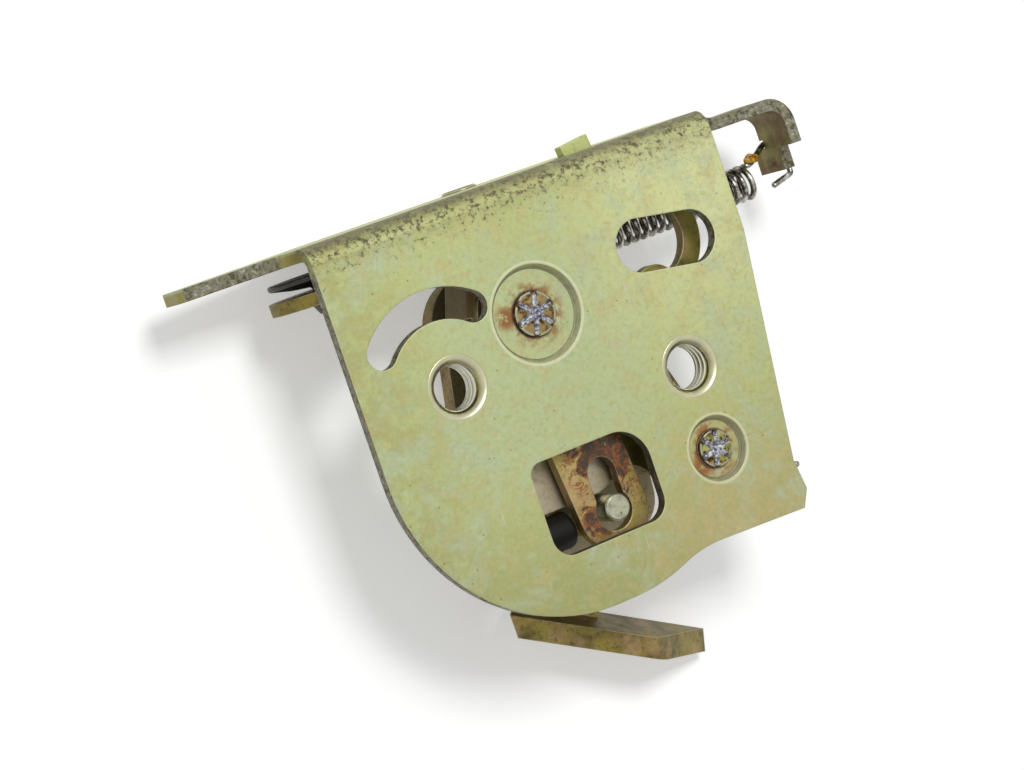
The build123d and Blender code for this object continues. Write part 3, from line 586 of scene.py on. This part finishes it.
def steel_paint(name, base, finish, dark=0.3):
    """Bare or oiled steel: cloudy, with brown stains, dark spots and rubbed edges with a painted highlight.
    """
    p = Paint(name)
    normal, edge = p.rounded_edges(0.2)
    cloud = p.noise(2.2, 4.0, 0.6)
    spots = p.noise(0.9, 4.0, 0.7, shift=(3.0, 2.0, 0.0))
    grain = p.noise(0.3, 2.0, 0.6)
    stain = p.rise(cloud, 0.5, 0.7) * dark
    colour = p.coats(
        p.mixed(p.rise(spots, 0.42, 0.66) * 0.4, base, finish.dull_plating_and_shade),
        (stain, finish.dark_rust),
        (p.rise(spots, 0.62, 0.68), finish.soil),
        # painted highlight along the rounded edges, with rubbed steel
        (edge * 0.6, finish.bright_plating_and_highlight))
    rough = 0.26 + grain * 0.14 + stain * 0.3
    return p.finish(colour, rough, 0.95 - stain * 0.5, grain + cloud + spots, 0.03, normal)


def spring_paint(finish):
    """Oiled spring wire: dark steel with lighter rubbed patches."""
    p = Paint("spring_wire")
    cloud = p.noise(1.6, 4.0, 0.6)
    grain = p.noise(0.2, 2.0, 0.6)
    colour = p.mixed(p.rise(cloud, 0.4, 0.65), finish.spring_steel, finish.spring_worn)
    return p.finish(colour, 0.22 + grain * 0.12, 1.0, grain, 0.01)


def stake_paint(name, petal, finish):
    """Staked stud head: bright bare steel in the struck grooves, stained plating between them."""
    p = Paint(name)
    rim = p.attribute("rim")
    cloud = p.noise(1.5, 4.0, 0.65, warp=0.5)
    grain = p.noise(0.2, 3.0, 0.7)
    facets = p.rise(p.noise(0.5, 3.0, 0.6), 0.42, 0.62)
    bright = p.mixed(facets, finish.groove_dark, finish.steel_bright)
    colour = p.coats(
        p.mixed(p.rise(cloud, 0.40, 0.58), petal, finish.dark_rust),
        (p.rise(p.noise(0.9, 3.0, 0.6, shift=(4.0, 1.0, 0.0)), 0.5, 0.65), petal),
        (p.rise(p.attribute("struck"), 0.10, 0.28), bright),
        (rim * p.rise(cloud, 0.3, 0.5), finish.dark_rust))
    rough = 0.32 + grain * 0.2 + rim * 0.25
    return p.finish(colour, rough, 0.85 - rim * 0.4, grain + cloud * 0.6, 0.03)


def thread_paint(finish):
    """Plating in a formed thread: a painted highlight on the crests over a dull olive root, and a painted
    highlight at the lead-in.
    """
    p = Paint("formed_thread")
    fine = p.noise(0.7, 3.0, 0.6)
    colour = p.coats(
        p.mixed(p.rise(p.noise(2.5, 3.0, 0.5), 0.35, 0.7), finish.lever_dark, finish.lever_green),
        # painted highlight on the thread crests
        (p.rise(p.attribute("crest"), 0.25, 0.75), finish.thread_crest_highlight),
        # painted highlight on the rolled lead-in at the plate
        (p.rise(p.z, -0.9, -0.1) * 0.6, finish.bright_plating_and_highlight))
    return p.finish(colour, 0.24 + fine * 0.14, 0.95, fine, 0.012)


def rubber_paint(finish):
    """Matt black rubber with faint dust."""
    p = Paint("buffer_rubber")
    grain = p.noise(0.4, 3.0, 0.7)
    dust = p.rise(p.noise(3.0, 4.0, 0.6), 0.5, 0.75) * 0.35
    colour = p.mixed(dust * 0.5, finish.rubber, finish.dust)
    return p.finish(colour, 0.5 + grain * 0.2, 0.0, grain, 0.03, **{"Specular IOR Level": 0.2})


def plastic_paint(finish):
    """Dark moulded plastic with a slight sheen."""
    p = Paint("clip_plastic")
    grain = p.noise(0.5, 3.0, 0.6)
    colour = p.mixed(p.rise(p.noise(2.0, 3.0, 0.6), 0.45, 0.8) * 0.3, finish.clip, finish.dust)
    return p.finish(colour, 0.32 + grain * 0.15, 0.0, grain, 0.02)


def grease_paint(finish):
    """Wet amber grease with rust in it."""
    p = Paint("grease")
    cloud = p.noise(0.8, 3.0, 0.6)
    colour = p.mixed(p.rise(cloud, 0.35, 0.65), finish.grease, finish.rust)
    return p.finish(colour, 0.2 + cloud * 0.2, 0.0, cloud, 0.1)


# ---- sizes and colours ----

def shade(description, default):
    return FloatVectorProperty(description=description, default=default, subtype="COLOR", min=0.0, max=1.0)


def length(description, default):
    return FloatProperty(description=description + ", in millimetres", default=default, min=0.0)


class LatchFinish(bpy.types.PropertyGroup):
    plating_green: shade("Zinc plating away from the plate's middle", (0.455, 0.495, 0.205))
    plating_pale: shade("Pale zinc plating in the plate's middle", (0.445, 0.505, 0.255))
    plating_yellow: shade("Yellow zinc plating at the plate's upper right", (0.640, 0.660, 0.330))
    plating_gold: shade("Golden tint of the plating", (0.500, 0.420, 0.190))
    plating_pink: shade("Pink tint of the plating", (0.480, 0.290, 0.200))
    # Also painted shade at the plate's left and over the bend; elsewhere a darker plating tone in the
    # mottling, low on the plate, on steel and on the hook.
    dull_plating_and_shade: shade("Dull plating in hollows and low on the plate", (0.320, 0.315, 0.115))
    # Also painted highlight on rounded edges, dimple walls and lips and the threads' lead-ins; elsewhere
    # bright flecks and rubbed plating.
    bright_plating_and_highlight: shade("Rubbed edges of the plating", (0.750, 0.740, 0.520))
    bare_edge: shade("Sheared sheet edges", (0.300, 0.290, 0.240))
    plating_blue: shade("Bluish bloom on the plating", (0.430, 0.500, 0.330))
    edge_dull: shade("Dull streaks on the sheared edges and the bend", (0.190, 0.170, 0.100))
    hook_brown: shade("Brown plating inside the hook", (0.200, 0.130, 0.055))
    blade_cream: shade("Pale faces of the levers behind the window", (0.400, 0.345, 0.240))
    # Also painted shade on the window's sheared walls and in the dimples' corners; elsewhere real dirt.
    soil: shade("Dark specks on the plating", (0.045, 0.034, 0.014))
    rust: shade("Orange rust and old grease", (0.300, 0.085, 0.006))
    dark_rust: shade("Dark brown rust", (0.040, 0.010, 0.003))
    lever_tan: shade("Release lever plating", (0.430, 0.330, 0.130))
    lever_green: shade("Lock lever plating", (0.250, 0.230, 0.055))
    lever_bronze: shade("Levers behind the plate", (0.260, 0.205, 0.045))
    # Also painted shade on the release lever's ear and what lies above its pivot, under the plate.
    lever_dark: shade("Darker patches of the levers", (0.100, 0.075, 0.022))
    steel: shade("Studs and spacers", (0.330, 0.315, 0.230))
    pin: shade("Pusher pin", (0.430, 0.430, 0.330))
    steel_bright: shade("Freshly struck steel", (0.600, 0.610, 0.640))
    # Painted highlight on the crests of the formed threads.
    thread_crest_highlight: shade("Crests of the formed threads", (0.700, 0.700, 0.600))
    groove_dark: shade("Darker facets of the struck grooves", (0.120, 0.128, 0.165))
    petal_brown: shade("Brown plating between the left head's grooves", (0.260, 0.190, 0.075))
    petal_olive: shade("Olive plating between the right head's grooves", (0.330, 0.310, 0.095))
    spring_steel: shade("Spring wire", (0.100, 0.090, 0.070))
    spring_worn: shade("Rubbed spring wire", (0.520, 0.510, 0.470))
    rubber: shade("Stop buffer", (0.006, 0.005, 0.003))
    clip: shade("Rod clip", (0.014, 0.014, 0.013))
    dust: shade("Dust on rubber and plastic", (0.060, 0.050, 0.025))
    grease: shade("Grease on the spring's end", (0.720, 0.470, 0.010))


class LatchSizes(bpy.types.PropertyGroup):
    thread_wall: length("Radius of the pressed wall", 3.85)
    thread_lead: length("Radius of the rolled lead-in at the plate", 5.0)
    thread_pitch: length("Distance between ridges", 1.25)
    thread_depth: length("Height of the ridges", 0.42)
    thread_length: length("Depth of the extruded hole", 5.0)
    main_star: length("Radius of the left staked head", 3.45)
    lock_star: length("Radius of the right staked head", 2.9)
    groove_half: length("Half width of a struck groove", 0.62)
    groove_depth: length("Depth of a struck groove", 0.5)
    wire: length("Spring wire diameter", 1.0)
    pull_radius: length("Mean radius of the extension spring", 2.55)
    pull_pitch: length("Distance between its turns", 1.65)
    main_coil: length("Mean radius of the coil on the main spacer", 5.4)
    stud_coil: length("Mean radius of the coils on the lock and inside studs", 4.3)
    coil_pitch: length("Distance between the turns of the torsion springs", 1.15)
    grease_radius: length("Half width of the grease on the hook wire", 1.15)
    floor_gap: length("Distance from the part down to the floor", 0.3)


class LatchStage(bpy.types.PropertyGroup):
    key_power: FloatProperty(description="Power of the soft lamp", default=4.6, min=0.0,
                             unit="POWER")
    world_level: FloatProperty(description="Strength of the even light", default=0.30, min=0.0)
    floor_glow: FloatProperty(description="White added to the floor where it is seen",
                              default=0.40, min=0.0)
    lens: FloatProperty(description="Focal length in millimetres on a 36 mm sensor",
                        default=98.44, min=1.0)


# ---- operators: one for each piece or group ----

class LATCH_OT_plating(bpy.types.Operator):
    """Gives the bracket, the levers, the studs and the hidden parts their finishes"""
    bl_idname = "latch.plating"
    bl_label = "Plating and steel"

    def execute(self, context):
        finish = context.scene.latch_finish
        bronze = lever_paint("lever_bronze", finish.lever_bronze, finish.lever_dark, finish)
        green = lever_paint("lever_green", finish.lever_green, finish.lever_dark, finish, 0.3,
                            tips=((above_flange, finish.plating_green), (neck, finish.blade_cream)))
        blade_pink = lever_paint("lever_blade", finish.lever_bronze, finish.lever_dark, finish,
                                 tips=((blade, finish.blade_cream),))
        tan = lever_paint("lever_tan", finish.lever_tan, finish.lever_bronze, finish, 0.35, RUSTED_PIN,
                          # painted shade: the release lever darkened above its pivot, under the plate
                          ((ear, finish.lever_dark),))
        spring_paint(finish)
        steel = steel_paint("stud_steel", finish.steel, finish)
        pin = steel_paint("pin_steel", finish.pin, finish, 0.35)
        paints = {
            "bracket": bracket_paint(finish), "stop_lug": bronze, "release_lever": tan,
            "outside_lever": blade_pink, "lock_lever": green, "coupling_link": bronze, "inside_lever": bronze,
            "main_stud": steel, "main_spacer": steel, "main_washer": steel, "lock_stud": steel,
            "inside_stud": steel, "pusher_pin": pin, "link_stub": pin, "stop_buffer": rubber_paint(finish),
            "rod_clip": plastic_paint(finish),
        }
        for name, paint in paints.items():
            part = frame["nodes"][name]
            part.data.materials.clear()
            part.data.materials.append(paint)
        return {"FINISHED"}


class LATCH_OT_threads(bpy.types.Operator):
    """Forms the ridged threads and rolled lead-ins of the two extruded holes"""
    bl_idname = "latch.threads"
    bl_label = "Formed threads"

    def execute(self, context):
        size = context.scene.latch_sizes
        paint = thread_paint(context.scene.latch_finish)
        for name, mount in (("thread_left_ridges", "thread_left"), ("thread_right_ridges", "thread_right")):
            place = next(m["pos_m"] for m in frame["record"]["mounts"] if m["name"] == mount)
            piece = thread_piece(name, (place[0] / MM, place[1] / MM), size)
            piece.data.materials.append(paint)
            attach(piece, "frame")
        return {"FINISHED"}


def thread_piece(name, centre, size):
    """A threaded lining: radius = wall - depth ridge(z / pitch + turn), with ridge a rounded triangle wave.

    The lining starts as a quarter circle from the plate to the wall and fades its ridge in and out; its
    back runs inside the metal, which closes the ring.
    """
    skin, sunk, end_gap, run_out = 0.015, 0.004, 0.02, 0.5
    back_r, back_rise = 0.5, 0.3
    lead = size.thread_lead - size.thread_wall
    arc = np.linspace(0, pi / 2, 12)
    wall_z = np.linspace(-lead, -size.thread_length + end_gap, 70)[1:]
    inner_r = np.concatenate([size.thread_lead - lead * np.sin(arc), np.full(len(wall_z), size.thread_wall)])
    inner_z = np.concatenate([lead * np.cos(arc) - lead, wall_z])
    turn = np.linspace(0, 2 * pi, 96, endpoint=False)[:, None]
    phase = (inner_z[None, :] / size.thread_pitch + turn / (2 * pi)) % 1.0
    ridge = np.clip(1.25 - 2.5 * np.abs(phase - 0.5), 0, 1)
    ridge = ridge * ridge * (3 - 2 * ridge)
    fade_in = np.clip((-inner_z - 0.35 * lead) / (0.7 * lead), 0, 1)
    fade_out = np.clip((inner_z + size.thread_length) / run_out, 0, 1)
    ridge = ridge * (fade_in * fade_out)[None, :]
    back = np.zeros((len(turn), 1))
    radius = inner_r[None, :] - skin - size.thread_depth * ridge
    height = np.broadcast_to(inner_z[None, :] - sunk, radius.shape)
    radius = np.concatenate([radius, back + size.thread_wall + back_r, back + size.thread_lead], axis=1)
    height = np.concatenate([height, back - size.thread_length + back_rise, back - lead], axis=1)
    points = np.stack([centre[0] + radius * np.cos(turn), centre[1] + radius * np.sin(turn), height], axis=-1)
    crest = np.concatenate([ridge, back, back], axis=1)
    faces = grid_faces(len(turn), radius.shape[1], True, True)
    return mesh_piece(name, points.reshape(-1, 3), [faces[:, ::-1]], {"crest": crest.ravel()})


class LATCH_OT_stakes(bpy.types.Operator):
    """Forms the two staked stud heads with their six struck grooves"""
    bl_idname = "latch.stakes"
    bl_label = "Staked heads"

    def execute(self, context):
        size = context.scene.latch_sizes
        finish = context.scene.latch_finish
        brown = stake_paint("left_head", finish.petal_brown, finish)
        olive = stake_paint("right_head", finish.petal_olive, finish)
        for name, node, radius, turn, paint in (("main_star", "main_stud", size.main_star, 0.26, brown),
                                                ("lock_star", "lock_stud", size.lock_star, 0.24, olive)):
            low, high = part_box(node)
            centre = ((low[0] + high[0]) / 2 / MM, (low[1] + high[1]) / 2 / MM, high[2] / MM)
            piece = stake_piece(name, centre, radius, turn, size)
            piece.data.materials.append(paint)
            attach(piece, "frame")
        return {"FINISHED"}


def stake_piece(name, centre, radius, turn, size):
    """A staked head: height(r, angle) = dome(r) - depth groove, a V groove on each of six rays.

    The V's share falls straight with the distance from the nearest ray and the ray narrows outwards; past
    the head's rim the skin drops to the seat and returns under it to the axis.
    """
    skirt_out, skirt_z = (0.04, 0.06, 0.07), (-0.30, -0.55, -0.75)
    proud, underside, ray = 0.03, -0.80, pi / 3
    skirt = len(skirt_z)
    r = np.concatenate([np.linspace(0, radius, 40), radius + np.array(skirt_out)])[None, :]
    angle = np.linspace(0, 2 * pi, 192, endpoint=False)[:, None]
    sector = (angle - turn + ray / 2) % ray - ray / 2
    uneven = 1 + 0.10 * np.sin(angle * 2 + 0.8) + 0.06 * np.sin(angle * 5 + radius)
    half = size.groove_half * uneven * (1.05 - 0.30 * r / radius)
    groove = np.clip(1 - np.abs(np.sin(sector)) * r / half, 0, 1) * np.clip((0.96 * radius - r) / 0.35, 0, 1)
    dome = 0.10 - 0.16 * (r / radius) ** 2 - 0.30 * np.clip((r - 0.93 * radius) / (0.07 * radius), 0, 1) ** 2
    height = dome + proud - size.groove_depth * groove
    height[:, -skirt:] = skirt_z
    groove[:, -skirt:] = 0
    rim = np.broadcast_to(np.clip((r - 0.88 * radius) / (0.12 * radius), 0, 1), height.shape)
    axis = np.zeros((len(angle), 1))
    reach = np.concatenate([np.broadcast_to(r, height.shape), axis], axis=1)
    height = np.concatenate([height, axis + underside], axis=1)
    points = np.stack([centre[0] + reach * np.cos(angle), centre[1] + reach * np.sin(angle),
                       centre[2] + height], axis=-1)
    values = {"struck": np.concatenate([groove, axis], axis=1).ravel(),
              "rim": np.concatenate([rim, axis], axis=1).ravel()}
    faces = grid_faces(len(angle), reach.shape[1], True, False)
    return mesh_piece(name, points.reshape(-1, 3), [faces[:, ::-1]], values)


class LATCH_OT_pull_spring(bpy.types.Operator):
    """Winds the extension spring between the release lever's lug and the bracket's hook"""
    bl_idname = "latch.pull_spring"
    bl_label = "Extension spring"

    def execute(self, context):
        size = context.scene.latch_sizes
        y, z = 13.3, -12.5
        start, end, lug, hook = 29.5, 67.9, 24.0, 75.0
        hook_top, hook_side, hook_tip = 18.1, 12.2, 11.2
        step, corner = 0.25, 1.0
        coil = helix(size.pull_radius, size.pull_pitch, (end - start) / size.pull_pitch, step)
        coil = np.stack([start + coil[:, 2], y + coil[:, 1], z - coil[:, 0]], axis=-1)
        left = [(lug - 1.0, y - 2.0, z), (lug - 1.0, y, z), (start - 2.0, y, z),
                (start - 1.0, y, z - size.pull_radius)]
        right = [(end + 1.0, y + size.pull_radius, z), (hook - 2.0, hook_top, z - 1.0),
                 (hook + 1.0, hook_top, z - 1.0), (hook + 1.0, hook_side, z), (hook - 3.0, hook_tip, z)]
        path = eased(np.concatenate([left, coil, right]), step, corner)
        piece = wire_piece("pull_spring_wire", path, size.wire / 2)
        piece.data.materials.append(bpy.data.materials["spring_wire"])
        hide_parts("pull_spring")
        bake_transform(piece)
        return {"FINISHED"}


class LATCH_OT_return_springs(bpy.types.Operator):
    """Winds the three torsion springs on the main, lock and inside studs"""
    bl_idname = "latch.return_springs"
    bl_label = "Torsion springs"
    def execute(self, context):
        size = context.scene.latch_sizes
        half = size.wire / 2
        main, lock, inside = (stud_centre(name) for name in ("main_stud", "lock_stud", "inside_stud"))
        winding = torsion_path(size.main_coil, size.coil_pitch)
        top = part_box("main_spring")[1][2] / MM - half
        legs = main + np.array([0, 0, top]) + winding * np.array([1, -1, -1])
        place_spring("main_spring", legs, size, "release")
        winding = torsion_path(size.stud_coil, size.coil_pitch)
        low, high = (np.array(corner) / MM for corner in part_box("lock_spring"))
        back = low[2] + half
        front = back + size.coil_pitch * TORSION_TURNS
        legs = lock + np.array([0, 0, front]) + winding[:-1] * np.array([1, -1, -1])
        edge = high[0] - half
        rest_y = -31.0
        end = [(edge, rest_y, back), (edge, rest_y, high[2] - half)]
        place_spring("lock_spring", np.concatenate([legs, end]), size, "frame")
        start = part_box("inside_spring")[1][1] / MM - half
        legs = np.stack([-winding[:, 0], -winding[:, 2], -winding[:, 1]], axis=-1)
        place_spring("inside_spring", inside + np.array([0, start, 0]) + legs, size, "frame")
        return {"FINISHED"}


def stud_centre(name):
    """The axis of a stud, with 0 along it."""
    low, high = (np.array(corner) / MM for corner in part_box(name))
    centre = (low + high) / 2
    centre[1 if name == "inside_stud" else 2] = 0
    return centre


def torsion_path(radius, pitch):
    """A close coil about +Z whose ends run straight on, one along -Y and the other along +Y."""
    coil = helix(radius, pitch, TORSION_TURNS, TORSION_STEP)
    return np.concatenate([[(radius, -2 * radius, 0)], coil, [(radius, radius, pitch * TORSION_TURNS)]])


def place_spring(node, points, size, body):
    inset, corner = 0.02, 0.8
    piece = wire_piece(node + "_wire", eased(points, TORSION_STEP, corner), size.wire / 2 - inset)
    piece.data.materials.append(bpy.data.materials["spring_wire"])
    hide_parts(node)
    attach(piece, body)


class LATCH_OT_buffer(bpy.types.Operator):
    """Turns the rubber stop buffer"""
    bl_idname = "latch.buffer"
    bl_label = "Rubber buffer"

    def execute(self, context):
        low, high = (np.array(corner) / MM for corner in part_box("stop_buffer"))
        centre = (0.0, (low[1] + high[1]) / 2, (low[2] + high[2]) / 2)
        radius = (high[1] - low[1]) / 2
        lug, slot, head_r, neck_r = 4.6, 2.0, 2.2, 1.8
        outline = [(0, low[0]), (head_r, low[0]), (head_r, lug), (neck_r, lug), (neck_r, lug + slot),
                   (radius, lug + slot), (radius, high[0]), (0, high[0])]
        piece = revolved("buffer_body", centre, (1, 0, 0), (0, 1, 0), rounded_profile(outline, 1.3, 8), 64)
        piece.data.materials.append(bpy.data.materials["buffer_rubber"])
        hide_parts("stop_buffer")
        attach(piece, "frame")
        return {"FINISHED"}


class LATCH_OT_clip(bpy.types.Operator):
    """Turns the rod clip with its rounded bowl"""
    bl_idname = "latch.clip"
    bl_label = "Rod clip"

    def execute(self, context):
        low, high = (np.array(corner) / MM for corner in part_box("rod_clip"))
        centre = ((low[0] + high[0]) / 2, 0.0, (low[2] + high[2]) / 2)
        bore, stem, barb, rim = 1.6, 2.4, 3.3, (high[0] - low[0]) / 2
        foot, under, seam, neck, top = low[1], 18.4, 20.0, 21.0, high[1]
        outline = [(bore, seam), (bore, foot), (stem, foot), (barb, under), (stem, under), (stem, neck),
                   (0.6 * rim, neck + 0.35), (rim, top - 0.95), (rim, top), (0.55 * rim, neck + 1.1),
                   (bore, neck + 0.9), (bore, seam)]
        piece = revolved("rod_clip_body", centre, (0, 1, 0), (1, 0, 0), rounded_profile(outline, 0.45, 6), 72)
        piece.data.materials.append(bpy.data.materials["clip_plastic"])
        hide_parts("rod_clip")
        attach(piece, "inside")
        return {"FINISHED"}


class LATCH_OT_grease(bpy.types.Operator):
    """Puts the drop of grease on the hook wire"""
    bl_idname = "latch.grease"
    bl_label = "Grease"

    def execute(self, context):
        piece = grease_piece("hook_grease", GREASED_WIRE, context.scene.latch_sizes.grease_radius)
        piece.data.materials.append(grease_paint(context.scene.latch_finish))
        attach(piece, "frame")
        return {"FINISHED"}


def grease_piece(name, centre, size):
    """A lumpy drop, flattened across the wire, whose radius follows its turn a and its rise e:
    size (1 + cos e (0.18 sin(2 a + 3 e) + 0.10 sin 5 a))."""
    rings, sides = 25, 48
    rise = np.linspace(-pi / 2, pi / 2, rings)[None, :]
    turn = np.linspace(0, 2 * pi, sides, endpoint=False)[:, None]
    radius = size * (1 + np.cos(rise) * (0.18 * np.sin(2 * turn + 3 * rise) + 0.10 * np.sin(5 * turn)))
    flat = radius * np.cos(rise)
    long, wide, high = 1.15, 0.8, 0.75
    points = np.stack([long * flat * np.cos(turn), wide * flat * np.sin(turn), high * radius * np.sin(rise)],
                      axis=-1)
    points = (points + np.array(centre)).reshape(-1, 3)
    return mesh_piece(name, points, [grid_faces(sides, rings, True, False)])


class LATCH_OT_stage(bpy.types.Operator):
    """Sets the floor, the even light, the soft lamp and the camera"""
    bl_idname = "latch.stage"
    bl_label = "Stage"

    def execute(self, context):
        stage = context.scene.latch_stage
        z = cad_box[0][2] / MM - context.scene.latch_sizes.floor_gap
        reach = FLOOR_REACH
        corners = np.array([[-reach, -reach, z], [reach, -reach, z], [reach, reach, z], [-reach, reach, z]])
        floor = mesh_piece("floor", corners, [np.array([[0, 1, 2, 3]])])
        floor.data.materials.append(floor_paint(stage.floor_glow))
        even_light(context.scene, stage.world_level)
        soft_lamp("key_lamp", LAMP_PLACE, LAMP_TARGET, LAMP_SIDE, stage.key_power)
        camera = bpy.data.cameras.new("view")
        camera.lens = stage.lens
        camera.sensor_width = 36.0
        camera.clip_start = 0.01
        holder = placed("view", camera)
        right, up, back = (0.8370, -0.3212, 0.4430), (0.3254, 0.9431, 0.0690), (-0.4399, 0.0864, 0.8939)
        place = (-0.1774, 0.0339, 0.3780)
        holder.matrix_world = turned(right, up, back, place)
        context.scene.camera = holder
        context.scene.view_settings.view_transform = "Standard"
        return {"FINISHED"}


def seen_directly(tree):
    """1 for what the camera, metal or glass sees, 0 for the light that falls on the part."""
    path = add_node(tree, "ShaderNodeLightPath", {}, {})
    seen = path.outputs["Is Camera Ray"]
    for name in ("Is Glossy Ray", "Is Transmission Ray"):
        either = add_node(tree, "ShaderNodeMath", {"operation": "MAXIMUM"}, {0: seen, 1: path.outputs[name]})
        seen = either.outputs[0]
    return seen


def floor_paint(glow_level):
    """White floor: a diffuse share that takes shadows, and a glow that only camera and reflections see."""
    p = Paint("floor_white")
    glow = p.node("ShaderNodeEmission", {}, {"Color": WHITE, "Strength": glow_level})
    none = p.node("ShaderNodeEmission", {}, {"Strength": 0.0})
    seen = seen_directly(p.tree)
    added = p.node("ShaderNodeMixShader", {}, {0: seen, 1: none.outputs[0], 2: glow.outputs[0]})
    p.finish(FLOOR_WHITE, 0.9, 0.0, **{"Specular IOR Level": 0.0})
    total = p.node("ShaderNodeAddShader", {}, {0: p.shader.outputs[0], 1: added.outputs[0]})
    p.tree.links.new(total.outputs[0], p.output.inputs["Surface"])
    return p.material


def even_light(scene, level):
    """World: the level lights the part; the camera and reflections see plain white."""
    world = bpy.data.worlds.new("even_light")
    world.use_nodes = True
    tree = world.node_tree
    tree.nodes.clear()
    lit = add_node(tree, "ShaderNodeBackground", {}, {"Color": WHITE, "Strength": level})
    white = add_node(tree, "ShaderNodeBackground", {}, {"Color": WHITE, "Strength": 1.0})
    seen = seen_directly(tree)
    mix = add_node(tree, "ShaderNodeMixShader", {}, {0: seen, 1: lit.outputs[0], 2: white.outputs[0]})
    add_node(tree, "ShaderNodeOutputWorld", {}, {"Surface": mix.outputs[0]})
    scene.world = world


def soft_lamp(name, place, target, side, power):
    """A square soft lamp that faces a point."""
    light = bpy.data.lights.new(name, "AREA")
    light.size = side * MM
    light.energy = power
    back = np.array(place, float) - np.array(target, float)
    back /= np.linalg.norm(back)
    right = np.cross((0.0, 0.0, 1.0), back)
    right /= np.linalg.norm(right)
    up = np.cross(back, right)
    placed(name, light).matrix_world = turned(right, up, back, np.array(place) * MM)


class LATCH_PT_panel(bpy.types.Panel):
    bl_idname = "LATCH_PT_panel"
    bl_label = "Latch"
    bl_space_type = "VIEW_3D"
    bl_region_type = "UI"
    bl_category = "Latch"

    def draw(self, context):
        for operator in operators:
            self.layout.operator(operator.bl_idname)
        for group in (context.scene.latch_sizes, context.scene.latch_stage, context.scene.latch_finish):
            for key in group.bl_rna.properties.keys():
                if key not in ("rna_type", "name"):
                    self.layout.prop(group, key, text=key.replace("_", " ").capitalize())


operators = (LATCH_OT_plating, LATCH_OT_threads, LATCH_OT_stakes, LATCH_OT_pull_spring,
             LATCH_OT_return_springs, LATCH_OT_buffer, LATCH_OT_clip, LATCH_OT_grease, LATCH_OT_stage)
groups = (LatchFinish, LatchSizes, LatchStage)


def register():
    for kind in (*groups, *operators, LATCH_PT_panel):
        bpy.utils.register_class(kind)
    bpy.types.Scene.latch_finish = PointerProperty(type=LatchFinish)
    bpy.types.Scene.latch_sizes = PointerProperty(type=LatchSizes)
    bpy.types.Scene.latch_stage = PointerProperty(type=LatchStage)


def unregister():
    del bpy.types.Scene.latch_stage, bpy.types.Scene.latch_sizes, bpy.types.Scene.latch_finish
    for kind in reversed((*groups, *operators, LATCH_PT_panel)):
        bpy.utils.unregister_class(kind)


def main():
    register()
    for operator in operators:
        getattr(bpy.ops.latch, operator.bl_idname.split(".")[1])()
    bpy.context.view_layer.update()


if __name__ == "__main__":
    main()
